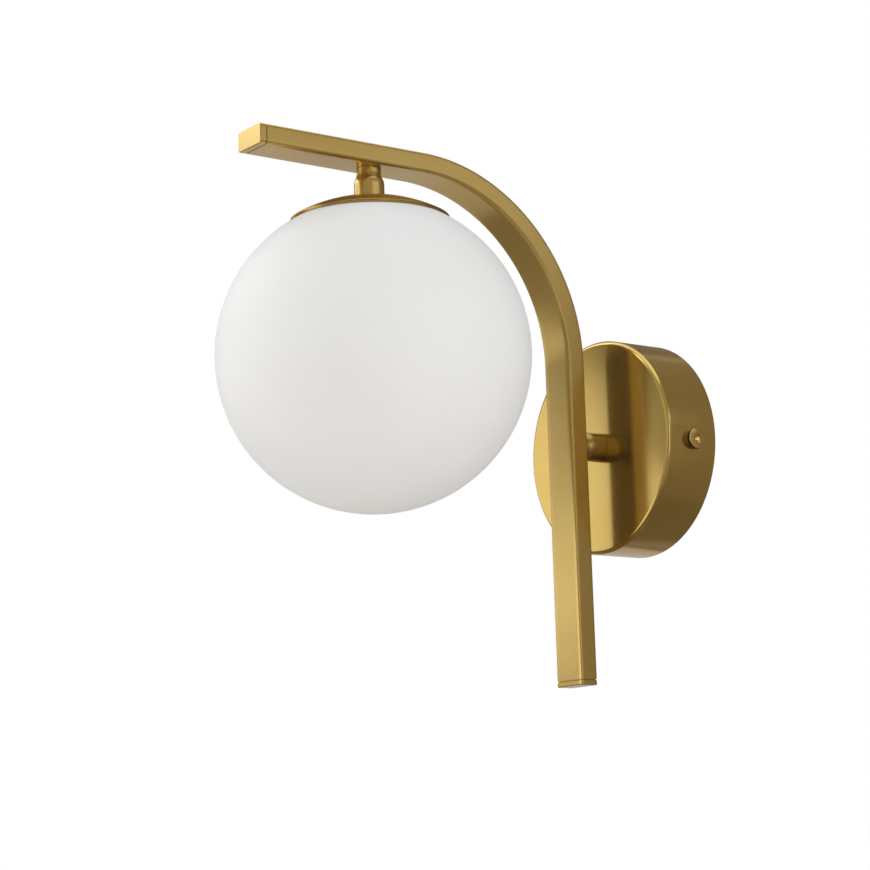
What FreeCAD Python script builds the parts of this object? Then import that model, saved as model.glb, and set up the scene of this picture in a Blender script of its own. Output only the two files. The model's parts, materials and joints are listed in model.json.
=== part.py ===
import FreeCAD, Part
import math
import os
import re
import Sketcher

# Globe wall sconce, millimetres. The wall is the plane y = 0, the room is on the -Y side and +Z is up.
# The origin is the centre of the two wall slots, which is also the centre of the canopy's back.
# Pieces on the globe's axis measure their levels from the globe's centre.
# Pieces on the canopy's axis measure their depths from the wall.

doc = FreeCAD.newDocument("GlobeWallSconce")

# How closely two levels count as one, and the least that a cut has to take away
SAME_LEVEL = 1e-6
LEAST_CUT = 1e-3

SIZES = {
    # Canopy drum on the wall
    "canopy_radius": 54,
    "canopy_depth": 30.5,
    "canopy_wall": 1.2,
    "canopy_edge": 2.0,
    # Wall bracket inside the canopy
    "bracket_sheet": 1.8,
    "bracket_radius": 42,
    "ear_width": 16,
    "ear_reach": 22,
    "ear_gap": 0.5,
    "slot_pitch": 60,
    "slot_length": 14,
    "slot_width": 5,
    "entry_radius": 9,
    # Side screws that hold the canopy on the bracket
    "side_depth": 14.5,
    "side_drop": 3.4,
    "side_shank_radius": 2.5,
    "side_head_radius": 5.1,
    "side_head_edge": 0.9,
    "side_head_height": 2.8,
    "side_socket_radius": 2.4,
    "side_socket_depth": 1.7,
    "side_tail": 1.5,
    "side_nut_radius": 4.6,
    "side_nut_height": 3.2,
    # Bent rectangular tube
    "arm_width": 20,
    "arm_thick": 10,
    "arm_wall": 1.2,
    "arm_corner": 1.2,
    "arm_gap": 14.5,
    "arm_top": 135,
    "arm_tip": 233,
    "arm_foot": 120.5,
    "arm_bend": 95,
    "tip_cap_length": 3.8,
    "foot_cap_length": 3.0,
    "cap_edge": 0.5,
    "plug_length": 9,
    "plug_play": 0.15,
    # Hollow threaded nipples, their nuts, washers and inserts
    "nipple_radius": 5,
    "nipple_bore": 3.6,
    "thread_play": 0.1,
    "nut_radius": 8.1,
    "nut_height": 3,
    "nipple_stub": 4.5,
    "nipple_tail": 1,
    "washer_radius": 8.5,
    "washer_height": 1,
    "insert_flange_radius": 7.2,
    "insert_flange": 2,
    "insert_spigot": 6.2,
    # Turned coupler and standoff
    "neck_radius": 5.9,
    "drum_radius": 7.3,
    "coupler_length": 15.8,
    "coupler_neck": 3,
    "coupler_shoulder": 4.8,
    "standoff_neck": 2.5,
    "standoff_shoulder": 4.5,
    "turned_edge": 0.35,
    # Globe, cap and the holder between them
    "globe_reach": 166,
    "globe_radius": 75,
    "globe_wall": 3,
    "ground_rim": 26.4,
    "mouth_radius": 21,
    "collar_wall": 3,
    "collar_depth": 8.2,
    "cap_gap": 0.6,
    "cap_wall": 1.0,
    "cap_seat": 8,
    "cap_rim": 38.7,
    "holder_play": 0.3,
    "holder_wall": 1.5,
    "holder_boss": 7.5,
    "holder_relief": 0.7,
    "seal_radius": 25,
    "seal_play": 0.2,
    # Lamp holder and lamp
    "strip_sheet": 1.0,
    "strip_width": 9,
    "socket_radius": 9.8,
    "socket_height": 20,
    "socket_drop": 3.5,
    "socket_play": 0.2,
    "strip_reach": 11,
    "socket_screw_drop": 3,
    "socket_screw_radius": 1.5,
    "socket_screw_head": 2.7,
    "socket_screw_cap": 1.8,
    "socket_screw_length": 5,
    "pin_pitch": 9,
    "pin_radius": 0.7,
    "pin_length": 12,
    "pin_play": 0.3,
    "contact_size": 4.2,
    "contact_height": 9,
    "contact_drop": 5,
    "lamp_gap": 0.3,
    "lamp_base_width": 15,
    "lamp_base_thick": 9,
    "lamp_base_height": 12,
    "lamp_base_corner": 3,
    "lamp_radius": 6.8,
    "lamp_length": 42,
    # Terminal block and leads
    "block_width": 30,
    "block_height": 13,
    "block_thick": 12.5,
    "block_level": 23,
    "pole_pitch": 8,
    "pole_radius": 2.1,
    "pole_bore": 1.3,
    "pole_tube": 11,
    "pole_screw_radius": 1.5,
    "pole_screw_pitch": 7.6,
    "pole_screw_sink": 0.6,
    "fit_play": 0.2,
    "block_screw_radius": 1.5,
    "block_screw_head": 2.7,
    "block_screw_cap": 1.8,
    "lead_radius": 1.0,
    "lead_pitch": 2.6,
    "lead_sag": 1.5,
    "lead_bend": 4,
    "lead_jog_bend": 2,
    "lead_mouth": 14,
    "lead_drop": 9,
    "lead_entry": 3,
    "earth_lead_high": 4.5,
    "earth_lead_low": -6.7,
    # Earth point
    "earth_drop": 27,
    "earth_radius": 1.95,
    "earth_head": 3.8,
    "earth_head_height": 2.4,
    "earth_washer_radius": 4.2,
    "earth_washer_height": 0.8,
    "tag_sheet": 0.7,
    "tag_radius": 3.9,
    "tag_lap": 1,
    "tag_barrel": 1.8,
    "tag_barrel_length": 6,
    "tag_reach": 12,
}

PLACES = {
    # Depths from the wall
    "arm_back": "canopy_depth + arm_gap",
    "arm_middle": "arm_back + arm_thick / 2",
    "canopy_inside": "canopy_radius - canopy_wall",
    "canopy_ceiling": "canopy_depth - canopy_wall",
    "washer_face": "canopy_ceiling - washer_height",
    "nut_face": "washer_face - nut_height",
    "nipple_start": "nut_face - nipple_stub",
    "rear_flange": "arm_back + arm_wall",
    "nipple_finish": "rear_flange + insert_flange",
    "nut_bore": "nipple_radius + thread_play",
    # Ears
    "ear_low": "side_drop + ear_width / 2",
    "ear_face": "sqrt(pow(canopy_inside; 2) - pow(ear_low; 2)) - ear_gap",
    "ear_back": "ear_face - bracket_sheet",
    "side_seat": "canopy_radius + fit_play",
    "side_shank": "side_seat - ear_back + side_nut_height + side_tail",
    "head_rise": "side_head_height - side_head_edge",
    "head_ball": "(pow(side_head_radius; 2) + pow(head_rise; 2)) / (2 * head_rise)",
    # Arm
    "bend_middle": "arm_bend - arm_thick / 2",
    "bend_depth": "arm_back + arm_bend",
    "bend_level": "arm_top - arm_bend",
    "arm_level": "arm_top - arm_thick / 2",
    "tube_tip": "arm_tip - tip_cap_length",
    "tube_foot": "arm_foot - foot_cap_length",
    "tube_inner_corner": "arm_corner / 2",
    "plug_width": "arm_width - 2 * arm_wall - 2 * plug_play",
    "plug_thick": "arm_thick - 2 * arm_wall - 2 * plug_play",
    # Levels from the globe's centre, which hangs below the arm by the cap and the coupler
    "cap_inner": "globe_radius + cap_gap",
    "cap_outer": "cap_inner + cap_wall",
    "cap_top": "sqrt(pow(cap_outer; 2) - pow(cap_seat; 2))",
    "under_arm": "cap_top + coupler_length",
    "globe_height": "arm_top - arm_thick - under_arm",
    "cap_flat": "cap_top - cap_wall",
    "cap_flat_radius": "sqrt(pow(cap_inner; 2) - pow(cap_flat; 2))",
    "cap_rim_level": "sqrt(pow(cap_outer; 2) - pow(cap_rim; 2))",
    "cap_rim_inner": "sqrt(pow(cap_inner; 2) - pow(cap_rim_level; 2))",
    "rim_level": "sqrt(pow(globe_radius; 2) - pow(ground_rim; 2))",
    "globe_inner": "globe_radius - globe_wall",
    "collar_outer": "mouth_radius + collar_wall",
    "collar_level": "rim_level - collar_depth",
    "collar_meet": "sqrt(pow(globe_inner; 2) - pow(collar_outer; 2))",
    "holder_radius": "mouth_radius - holder_play",
    "holder_top": "sqrt(pow(cap_inner; 2) - pow(holder_radius; 2)) - holder_relief",
    "holder_plate": "holder_top - holder_wall",
    "seal_inner": "holder_radius + fit_play / 2",
    "seal_bottom": "rim_level + seal_play",
    "seal_top": "sqrt(pow(cap_inner; 2) - pow(seal_radius; 2)) - fit_play / 2",
    "strip_level": "holder_plate - strip_sheet",
    "lock_level": "strip_level - nut_height",
    "nipple_low": "lock_level - nipple_tail",
    "insert_level": "under_arm + arm_wall",
    "nipple_high": "insert_level + insert_flange",
    "socket_top": "nipple_low - socket_drop",
    "socket_bottom": "socket_top - socket_height",
    "strip_inner": "socket_radius + socket_play",
    "strip_outer": "strip_inner + strip_sheet",
    "strip_low": "socket_screw_level - strip_width / 2",
    "socket_screw_level": "socket_top - socket_screw_drop",
    "contact_top": "socket_top - contact_drop",
    "contact_bottom": "contact_top - contact_height",
    "lamp_top": "socket_bottom - lamp_gap",
    "pin_top": "lamp_top + pin_length",
    "lamp_shoulder": "lamp_top - lamp_base_height",
    "lamp_end": "lamp_shoulder - lamp_length",
    # Terminal block and earth point
    "block_middle": "bracket_sheet + block_thick / 2",
    "block_face": "bracket_sheet + block_thick",
    "block_screw_offset": "pole_pitch / 2",
    "tag_middle": "bracket_sheet + tag_barrel",
    "earth_washer_face": "bracket_sheet + tag_sheet",
    "earth_head_face": "earth_washer_face + earth_washer_height",
}


def fillSheet(name, cells, isFormula):
    sheet = doc.addObject("Spreadsheet::Sheet", name)
    for row, (alias, content) in enumerate(cells.items(), start=1):
        sheet.set("A%d" % row, alias)
        cell = "B%d" % row
        if isFormula:
            sheet.set(cell, "=" + withSheetName(content, ["Sizes"]))
        else:
            sheet.set(cell, str(content))
        sheet.setAlias(cell, alias)
    return sheet


def withSheetName(formula, sheets):
    def expand(match):
        word = match.group(0)
        if word in SIZES and "Sizes" in sheets:
            return "Sizes." + word
        if word in PLACES and "Places" in sheets:
            return "Places." + word
        return word
    return re.sub(r"[a-z_]+", expand, formula)


def full(formula):
    return withSheetName(str(formula), ["Sizes", "Places"])


sizes = fillSheet("Sizes", SIZES, False)
places = fillSheet("Places", PLACES, True)
doc.recompute()

pieces = []
cuts = []


def measure(formula):
    return float(places.evalExpression(full(formula)))


def bind(thing, prop, formula):
    thing.setExpression(prop, full(formula))


def bindPlace(thing, x, y, z):
    for axis, formula in (("x", x), ("y", y), ("z", z)):
        if formula != "0":
            bind(thing, "Placement.Base." + axis, formula)


def originPlane(body, role):
    return [feature for feature in body.Origin.OriginFeatures if feature.Role == role][0]


# Frames that the pieces stand in: where they start, and the turn of their own axis
UP = FreeCAD.Rotation()
OUT_OF_WALL = FreeCAD.Rotation(FreeCAD.Vector(1, 0, 0), 90)
TO_RIGHT = FreeCAD.Rotation(FreeCAD.Vector(0, 1, 0), 90)
TO_LEFT = FreeCAD.Rotation(FreeCAD.Vector(0, 1, 0), -90)
ROOM = (("0", "0", "0"), UP)
CANOPY_AXIS = (("0", "0", "0"), OUT_OF_WALL)
GLOBE_AXIS = (("0", "-globe_reach", "globe_height"), UP)
RIGHT_SCREW = (("side_seat", "-side_depth", "-side_drop"), TO_RIGHT)
LEFT_SCREW = (("-side_seat", "-side_depth", "-side_drop"), TO_LEFT)


def stand(thing, frame):
    spot, turn = frame
    thing.Placement = FreeCAD.Placement(FreeCAD.Vector(), turn)
    bindPlace(thing, *spot)


def newBody(label, frame):
    body = doc.addObject("PartDesign::Body", label)
    body.Label = label
    stand(body, frame)
    return body


def newSketch(body, role, offset="0"):
    sketch = body.newObject("Sketcher::SketchObject", body.Label + "_sketch")
    sketch.AttachmentSupport = [(originPlane(body, role), "")]
    sketch.MapMode = "FlatFace"
    if offset != "0":
        bind(sketch, "AttachmentOffset.Base.z", offset)
    return sketch


def constrain(sketch, kind, *refs, formula):
    index = sketch.addConstraint(Sketcher.Constraint(kind, *refs, measure(formula)))
    sketch.setExpression("Constraints[%d]" % index, full(formula))


def fixPoint(sketch, edge, end, x, y):
    if x == "0":
        sketch.addConstraint(Sketcher.Constraint("PointOnObject", edge, end, -2))
    else:
        constrain(sketch, "DistanceX", -1, 1, edge, end, formula=x)
    if y == "0":
        sketch.addConstraint(Sketcher.Constraint("PointOnObject", edge, end, -1))
    else:
        constrain(sketch, "DistanceY", -1, 1, edge, end, formula=y)


def arcBetween(start, finish, radius, side):
    chord = finish - start
    middle = (start + finish) * 0.5
    left = FreeCAD.Vector(-chord.y, chord.x, 0).normalize()
    centre = middle + left * (side * math.sqrt(max(radius ** 2 - chord.Length ** 2 / 4, 0)))
    if side < 0:
        start, finish = finish, start
    first = math.atan2(start.y - centre.y, start.x - centre.x)
    last = math.atan2(finish.y - centre.y, finish.x - centre.x)
    circle = Part.Circle(centre, FreeCAD.Vector(0, 0, 1), radius)
    return Part.ArcOfCircle(circle, first, last)


def addOutline(sketch, corners, bends=None, closed=True, halfTurns=()):
    # bends maps an edge's number to its radius and its centre's side: 1 is left, -1 is right.
    # halfTurns names the half circles whose two ends stand one above the other.
    bends = bends or {}
    spots = [FreeCAD.Vector(measure(x), measure(y), 0) for x, y in corners]
    count = len(corners) if closed else len(corners) - 1
    edges = []
    for number in range(count):
        start = spots[number]
        finish = spots[(number + 1) % len(spots)]
        if number in bends:
            radius, side = bends[number]
            edge = sketch.addGeometry(arcBetween(start, finish, measure(radius), side), False)
            ends = (1, 2) if side > 0 else (2, 1)
        else:
            edge = sketch.addGeometry(Part.LineSegment(start, finish), False)
            ends = (1, 2)
        edges.append((edge, ends))
    for number, (edge, ends) in enumerate(edges):
        x, y = corners[number]
        fixPoint(sketch, edge, ends[0], x, y)
        follower = (number + 1) % len(edges)
        if closed or number + 1 < len(edges):
            nextEdge, nextEnds = edges[follower]
            sketch.addConstraint(Sketcher.Constraint("Coincident", edge, ends[1], nextEdge, nextEnds[0]))
        else:
            fixPoint(sketch, edge, ends[1], *corners[-1])
        if number in halfTurns:
            sketch.addConstraint(Sketcher.Constraint("Vertical", edge, 3, edge, 1))
        elif number in bends:
            constrain(sketch, "Radius", edge, formula=bends[number][0])


def addRectangle(sketch, left, right, low, high):
    addOutline(sketch, [(left, low), (right, low), (right, high), (left, high)])


def addRoundRectangle(sketch, width, height, corner, x="0", y="0"):
    halfWidth = "(%s) / 2" % width
    halfHeight = "(%s) / 2" % height

    def at(signX, signY, cutX, cutY):
        across = "%s %s %s" % (x, signX, halfWidth)
        up = "%s %s %s" % (y, signY, halfHeight)
        if cutX:
            across += " %s %s" % ("-" if signX == "+" else "+", corner)
        if cutY:
            up += " %s %s" % ("-" if signY == "+" else "+", corner)
        return across, up

    corners = [
        at("-", "-", True, False), at("+", "-", True, False),
        at("+", "-", False, True), at("+", "+", False, True),
        at("+", "+", True, False), at("-", "+", True, False),
        at("-", "+", False, True), at("-", "-", False, True),
    ]
    addOutline(sketch, corners, {number: (corner, 1) for number in (1, 3, 5, 7)})


def addCircle(sketch, x, y, radius):
    centre = FreeCAD.Vector(measure(x), measure(y), 0)
    circle = Part.Circle(centre, FreeCAD.Vector(0, 0, 1), measure(radius))
    edge = sketch.addGeometry(circle, False)
    fixPoint(sketch, edge, 3, x, y)
    constrain(sketch, "Radius", edge, formula=radius)


def addSlot(sketch, middle, length, width):
    half = "(%s - %s) / 2" % (length, width)
    left = "%s - %s" % (middle, half)
    right = "%s + %s" % (middle, half)
    radius = width + " / 2"
    corners = [(left, "-" + radius), (right, "-" + radius), (right, radius), (left, radius)]
    addOutline(sketch, corners, {1: (radius, 1), 3: (radius, 1)}, halfTurns=(1, 3))


def pad(body, sketch, length, middle=False):
    feature = body.newObject("PartDesign::Pad", body.Label + "_pad")
    feature.Profile = sketch
    feature.Midplane = middle
    bind(feature, "Length", length)
    return feature


def pocket(body, sketch, length, ahead=True, middle=False):
    # ahead cuts along the sketch's normal, otherwise the cut goes behind it
    before = body.Tip
    feature = body.newObject("PartDesign::Pocket", body.Label + "_pocket")
    feature.Profile = sketch
    feature.Reversed = ahead
    feature.Midplane = middle
    bind(feature, "Length", length)
    cuts.append((before, feature))
    return feature


def revolve(body, sketch):
    feature = body.newObject("PartDesign::Revolution", body.Label + "_turn")
    feature.Profile = sketch
    feature.ReferenceAxis = (sketch, ["V_Axis"])
    feature.Angle = 360
    return feature


def turned(label, frame, corners, bends=None):
    body = newBody(label, frame)
    sketch = newSketch(body, "XZ_Plane")
    addOutline(sketch, corners, bends)
    revolve(body, sketch)
    pieces.append(body)
    return body


def ring(label, frame, inner, outer, low, high):
    # A washer, sleeve or tube: inner and outer radius, and where it starts and ends on its axis
    return turned(label, frame, [(inner, low), (outer, low), (outer, high), (inner, high)])


def cylinder(name, radius, height, x="0", y="0", z="0", turn=UP):
    solid = doc.addObject("Part::Cylinder", name)
    bind(solid, "Radius", radius)
    bind(solid, "Height", height)
    stand(solid, ((x, y, z), turn))
    return solid


def block(name, length, width, height, x, y, z):
    solid = doc.addObject("Part::Box", name)
    bind(solid, "Length", length)
    bind(solid, "Width", width)
    bind(solid, "Height", height)
    bindPlace(solid, x, y, z)
    return solid


def cut(name, base, tool):
    result = doc.addObject("Part::Cut", name)
    result.Base = base
    result.Tool = tool
    return result


def fuse(name, solids):
    result = doc.addObject("Part::MultiFuse", name)
    result.Shapes = solids
    return result


def group(label, solids):
    # Loose pieces of one kind that share a file
    result = doc.addObject("Part::Compound", label)
    result.Links = solids
    result.Label = label
    pieces.append(result)
    return result


def hexNut(name, frame, radius, height, bore, level):
    (x, y, z), turn = frame
    prism = doc.addObject("Part::Prism", name + "_hexagon")
    prism.Polygon = 6
    bind(prism, "Circumradius", radius)
    bind(prism, "Height", height)
    bind(prism, "Placement.Base.z", level)
    hole = cylinder(name + "_bore", bore, height, z=level)
    nut = cut(name, prism, hole)
    stand(nut, frame)
    return nut


# Canopy: a drum open towards the wall, with a hole for the nipple and one each side for the screws
def makeCanopy():
    rounded = "canopy_radius - canopy_edge"
    shoulder = "canopy_depth - canopy_edge"
    innerEdge = "canopy_edge - canopy_wall"
    body = turned("canopy", CANOPY_AXIS, [
        ("nut_bore", "canopy_ceiling"), ("canopy_inside - (%s)" % innerEdge, "canopy_ceiling"),
        ("canopy_inside", "canopy_ceiling - (%s)" % innerEdge), ("canopy_inside", "0"),
        ("canopy_radius", "0"), ("canopy_radius", shoulder),
        (rounded, "canopy_depth"), ("nut_bore", "canopy_depth"),
    ], {1: (innerEdge, -1), 5: ("canopy_edge", 1)})
    holes = newSketch(body, "YZ_Plane")
    addCircle(holes, "-side_drop", "side_depth", "side_shank_radius + 2 * fit_play")
    pocket(body, holes, "2 * side_seat", middle=True)


# Wall bracket: a round plate with a strip across it, whose ends are bent up as ears
def makeWallBracket():
    body = newBody("wall_bracket", ROOM)
    plate = newSketch(body, "XZ_Plane")
    addCircle(plate, "0", "0", "bracket_radius")
    pad(body, plate, "bracket_sheet")
    strip = newSketch(body, "XZ_Plane")
    addRectangle(strip, "-ear_face", "ear_face", "-ear_low", "ear_width / 2 - side_drop")
    pad(body, strip, "bracket_sheet")
    for inner, outer in (("ear_back", "ear_face"), ("-ear_face", "-ear_back")):
        ear = newSketch(body, "XZ_Plane")
        addRectangle(ear, inner, outer, "-ear_low", "ear_width / 2 - side_drop")
        pad(body, ear, "ear_reach")
    slots = newSketch(body, "XZ_Plane")
    for middle in ("-slot_pitch / 2", "slot_pitch / 2"):
        addSlot(slots, middle, "slot_length", "slot_width")
    addCircle(slots, "0", "0", "entry_radius")
    pocket(body, slots, "bracket_sheet")
    threads = newSketch(body, "XZ_Plane")
    addCircle(threads, "0", "-earth_drop", "earth_radius + thread_play")
    addCircle(threads, "block_screw_offset", "block_level", "block_screw_radius + thread_play")
    pocket(body, threads, "bracket_sheet")
    holes = newSketch(body, "YZ_Plane")
    addCircle(holes, "-side_depth", "-side_drop", "side_shank_radius + thread_play / 2")
    pocket(body, holes, "2 * canopy_radius", middle=True)
    pieces.append(body)


def makeEarNuts():
    nuts = []
    for side, turn in (("", TO_RIGHT), ("-", TO_LEFT)):
        frame = ((side + "(ear_back - side_nut_height)", "-side_depth", "-side_drop"), turn)
        nuts.append(hexNut("ear_nut" + ("_right" if side == "" else "_left"), frame, "side_nut_radius",
                           "side_nut_height", "side_shank_radius + thread_play / 2", "0"))
    group("ear_nuts", nuts)


# Side screw: button head with a six-sided socket, its head just clear of the drum
def makeSideScrew(label, frame):
    body = turned(label, frame, [
        ("0", "-side_shank"), ("side_shank_radius", "-side_shank"), ("side_shank_radius", "0"),
        ("side_head_radius", "0"), ("side_head_radius", "side_head_edge"), ("0", "side_head_height"),
    ], {4: ("head_ball", 1)})
    socket = newSketch(body, "XY_Plane", "side_head_height")
    reach = "side_socket_radius"
    halfReach = "side_socket_radius / 2"
    rise = "side_socket_radius * sqrt(3) / 2"
    addOutline(socket, [(reach, "0"), (halfReach, rise), ("-" + halfReach, rise),
                        ("-" + reach, "0"), ("-" + halfReach, "-" + rise), (halfReach, "-" + rise)])
    pocket(body, socket, "side_socket_depth", ahead=False)


# Arm: one rectangular tube swept along a straight, a quarter bend and a straight
def addTubeSection(body, width, thick, corner):
    sketch = newSketch(body, "XY_Plane", "-tube_foot")
    addRoundRectangle(sketch, width, thick, corner, "0", "-arm_middle")
    return sketch


def makeArmTube():
    body = newBody("arm_tube", ROOM)
    path = newSketch(body, "YZ_Plane")
    addOutline(path, [("-arm_middle", "-tube_foot"), ("-arm_middle", "bend_level"),
                      ("-bend_depth", "arm_level"), ("-tube_tip", "arm_level")],
               {1: ("bend_middle", 1)}, closed=False)
    outside = addTubeSection(body, "arm_width", "arm_thick", "arm_corner")
    sweep = body.newObject("PartDesign::AdditivePipe", "arm_tube_outside")
    sweep.Profile = outside
    sweep.Spine = path
    inside = addTubeSection(body, "arm_width - 2 * arm_wall", "arm_thick - 2 * arm_wall",
                            "tube_inner_corner")
    hollow = body.newObject("PartDesign::SubtractivePipe", "arm_tube_inside")
    hollow.Profile = inside
    hollow.Spine = path
    cuts.append((sweep, hollow))
    rear = newSketch(body, "XZ_Plane")
    addCircle(rear, "0", "0", "insert_spigot + thread_play")
    pocket(body, rear, "arm_middle")
    under = newSketch(body, "XY_Plane")
    addCircle(under, "0", "-globe_reach", "insert_spigot + thread_play")
    pocket(body, under, "arm_level")
    pieces.append(body)


# End plugs: a plate flush with the tube, a stem inside it and an eased outer edge
def makeEndCap(label, frame, length):
    body = newBody(label, frame)
    plate = newSketch(body, "XY_Plane")
    addRoundRectangle(plate, "arm_width", "arm_thick", "arm_corner")
    head = pad(body, plate, length)
    stem = newSketch(body, "XY_Plane")
    addRoundRectangle(stem, "plug_width", "plug_thick", "tube_inner_corner")
    plug = pad(body, stem, "plug_length")
    plug.Reversed = True
    doc.recompute()
    ease = body.newObject("PartDesign::Fillet", label + "_ease")
    level = measure(length)
    rimEdges = ["Edge%d" % (number + 1) for number, edge in enumerate(plug.Shape.Edges)
                if abs(edge.BoundBox.ZMin - level) < SAME_LEVEL
                and abs(edge.BoundBox.ZMax - level) < SAME_LEVEL]
    ease.Base = (plug, rimEdges)
    bind(ease, "Radius", "cap_edge")
    pieces.append(body)


def makeEndCaps():
    towardsRoom = FreeCAD.Rotation(FreeCAD.Vector(1, 0, 0), 90)
    downwards = FreeCAD.Rotation(FreeCAD.Vector(1, 0, 0), 180)
    makeEndCap("arm_tip_cap", (("0", "-tube_tip", "arm_level"), towardsRoom), "tip_cap_length")
    makeEndCap("arm_foot_cap", (("0", "-arm_middle", "-tube_foot"), downwards), "foot_cap_length")


# Turned pieces with a slim neck, a smooth shoulder and a wider drum that bears on sheet metal.
# The shoulder is two equal arcs that meet halfway, each a quarter wave.
def makeNecked(label, frame, wide, narrow, neck, shoulder):
    # wide and narrow are the levels of the drum's and the neck's ends, with narrow further along the axis
    rise = "((drum_radius - neck_radius) / 2)"
    halfLength = "(%s / 2)" % shoulder
    radius = "(pow(%s; 2) + pow(%s; 2)) / (2 * %s)" % (rise, halfLength, rise)
    drumEnd = "%s - %s - %s" % (narrow, neck, shoulder)
    halfWay = "%s - %s - %s" % (narrow, neck, halfLength)
    turned(label, frame, [
        ("nut_bore", wide), ("drum_radius - turned_edge", wide), ("drum_radius", wide + " + turned_edge"),
        ("drum_radius", drumEnd), ("(drum_radius + neck_radius) / 2", halfWay),
        ("neck_radius", "%s - %s" % (narrow, neck)), ("neck_radius", narrow), ("nut_bore", narrow),
    ], {1: ("turned_edge", 1), 3: (radius, 1), 4: (radius, -1)})


def makeCanopyStack():
    makeNecked("standoff", CANOPY_AXIS, "canopy_depth", "arm_back", "standoff_neck", "standoff_shoulder")
    ring("rear_nipple", CANOPY_AXIS, "nipple_bore", "nipple_radius", "nipple_start", "nipple_finish")
    ring("canopy_washer", CANOPY_AXIS, "nut_bore", "washer_radius", "washer_face", "canopy_ceiling")
    nut = hexNut("canopy_nut", CANOPY_AXIS, "nut_radius", "nut_height", "nut_bore", "nut_face")
    pieces.append(nut)
    makeInsert("rear_insert", CANOPY_AXIS, "arm_back", "rear_flange", "nipple_finish")


# Insert: a flanged bush whose spigot fills the hole in the tube's wall
def makeInsert(label, frame, face, flange, finish):
    turned(label, frame, [
        ("nut_bore", face), ("insert_spigot", face), ("insert_spigot", flange),
        ("insert_flange_radius", flange), ("insert_flange_radius", finish), ("nut_bore", finish),
    ])


def makeGlobeStack():
    makeInsert("top_insert", GLOBE_AXIS, "under_arm", "insert_level", "nipple_high")
    makeNecked("globe_coupler", GLOBE_AXIS, "cap_top", "under_arm", "coupler_neck", "coupler_shoulder")
    ring("globe_nipple", GLOBE_AXIS, "nipple_bore", "nipple_radius", "nipple_low", "nipple_high")
    turned("globe_cap", GLOBE_AXIS, [
        ("nut_bore", "cap_flat"), ("cap_flat_radius", "cap_flat"), ("cap_rim_inner", "cap_rim_level"),
        ("cap_rim", "cap_rim_level"), ("cap_seat", "cap_top"), ("nut_bore", "cap_top"),
    ], {1: ("cap_inner", -1), 3: ("cap_outer", 1)})
    turned("glass_holder", GLOBE_AXIS, [
        ("nut_bore", "holder_plate"), ("holder_radius - holder_wall", "holder_plate"),
        ("holder_radius - holder_wall", "collar_level"), ("holder_radius", "collar_level"),
        ("holder_radius", "holder_top"), ("holder_boss", "holder_top"), ("holder_boss", "cap_flat"),
        ("nut_bore", "cap_flat"),
    ])
    ring("glass_seal", GLOBE_AXIS, "seal_inner", "seal_radius", "seal_bottom", "seal_top")
    pieces.append(hexNut("holder_nut", GLOBE_AXIS, "nut_radius", "nut_height", "nut_bore", "lock_level"))


# Globe: an almost whole sphere, ground flat at the top, with a short collar turned inwards
def makeGlobe():
    turned("glass_globe", GLOBE_AXIS, [
        ("0", "-globe_radius"), ("globe_radius", "0"), ("ground_rim", "rim_level"),
        ("mouth_radius", "rim_level"), ("mouth_radius", "collar_level"), ("collar_outer", "collar_level"),
        ("collar_outer", "collar_meet"), ("globe_inner", "0"), ("0", "-globe_inner"),
    ], {0: ("globe_radius", 1), 1: ("globe_radius", 1), 6: ("globe_inner", -1), 7: ("globe_inner", -1)})


# Strip bent into a U round the lamp holder, clamped by the lock nut
def makeLampBracket():
    body = newBody("lamp_bracket", GLOBE_AXIS)
    sketch = newSketch(body, "XZ_Plane")
    addOutline(sketch, [
        ("-strip_outer", "strip_low"), ("-strip_inner", "strip_low"), ("-strip_inner", "strip_level"),
        ("strip_inner", "strip_level"), ("strip_inner", "strip_low"), ("strip_outer", "strip_low"),
        ("strip_outer", "holder_plate"), ("-strip_outer", "holder_plate"),
    ])
    pad(body, sketch, "strip_reach", middle=True)
    hole = newSketch(body, "XY_Plane")
    addCircle(hole, "0", "0", "nut_bore")
    pocket(body, hole, "holder_top")
    sides = newSketch(body, "YZ_Plane")
    addCircle(sides, "0", "socket_screw_level", "socket_screw_radius + thread_play")
    pocket(body, sides, "2 * (strip_outer + fit_play)", middle=True)
    pieces.append(body)


# Ceramic holder: two lead holes and contact chambers from above, two pin holes from below
def makeLampHolder():
    body = newBody("lamp_holder", GLOBE_AXIS)
    outline = newSketch(body, "XY_Plane", "socket_bottom")
    addCircle(outline, "0", "0", "socket_radius")
    pad(body, outline, "socket_height")
    chambers = newSketch(body, "XY_Plane", "contact_bottom")
    halfSize = "(contact_size / 2 + fit_play)"
    for side in ("-", ""):
        middle = side + "pin_pitch / 2"
        addRectangle(chambers, "%s - %s" % (middle, halfSize), "%s + %s" % (middle, halfSize),
                     "-" + halfSize, halfSize)
    pocket(body, chambers, "contact_height + contact_drop")
    pins = newSketch(body, "XY_Plane", "contact_bottom")
    for side in ("-", ""):
        addCircle(pins, side + "pin_pitch / 2", "0", "pin_radius + pin_play")
    pocket(body, pins, "contact_bottom - socket_bottom", ahead=False)
    for start, inwards in (("-strip_inner", True), ("strip_inner", False)):
        side = newSketch(body, "YZ_Plane", start)
        addCircle(side, "0", "socket_screw_level", "socket_screw_radius + thread_play")
        pocket(body, side, "socket_screw_length - strip_sheet + 2 * fit_play", ahead=inwards)
    pieces.append(body)


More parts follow.
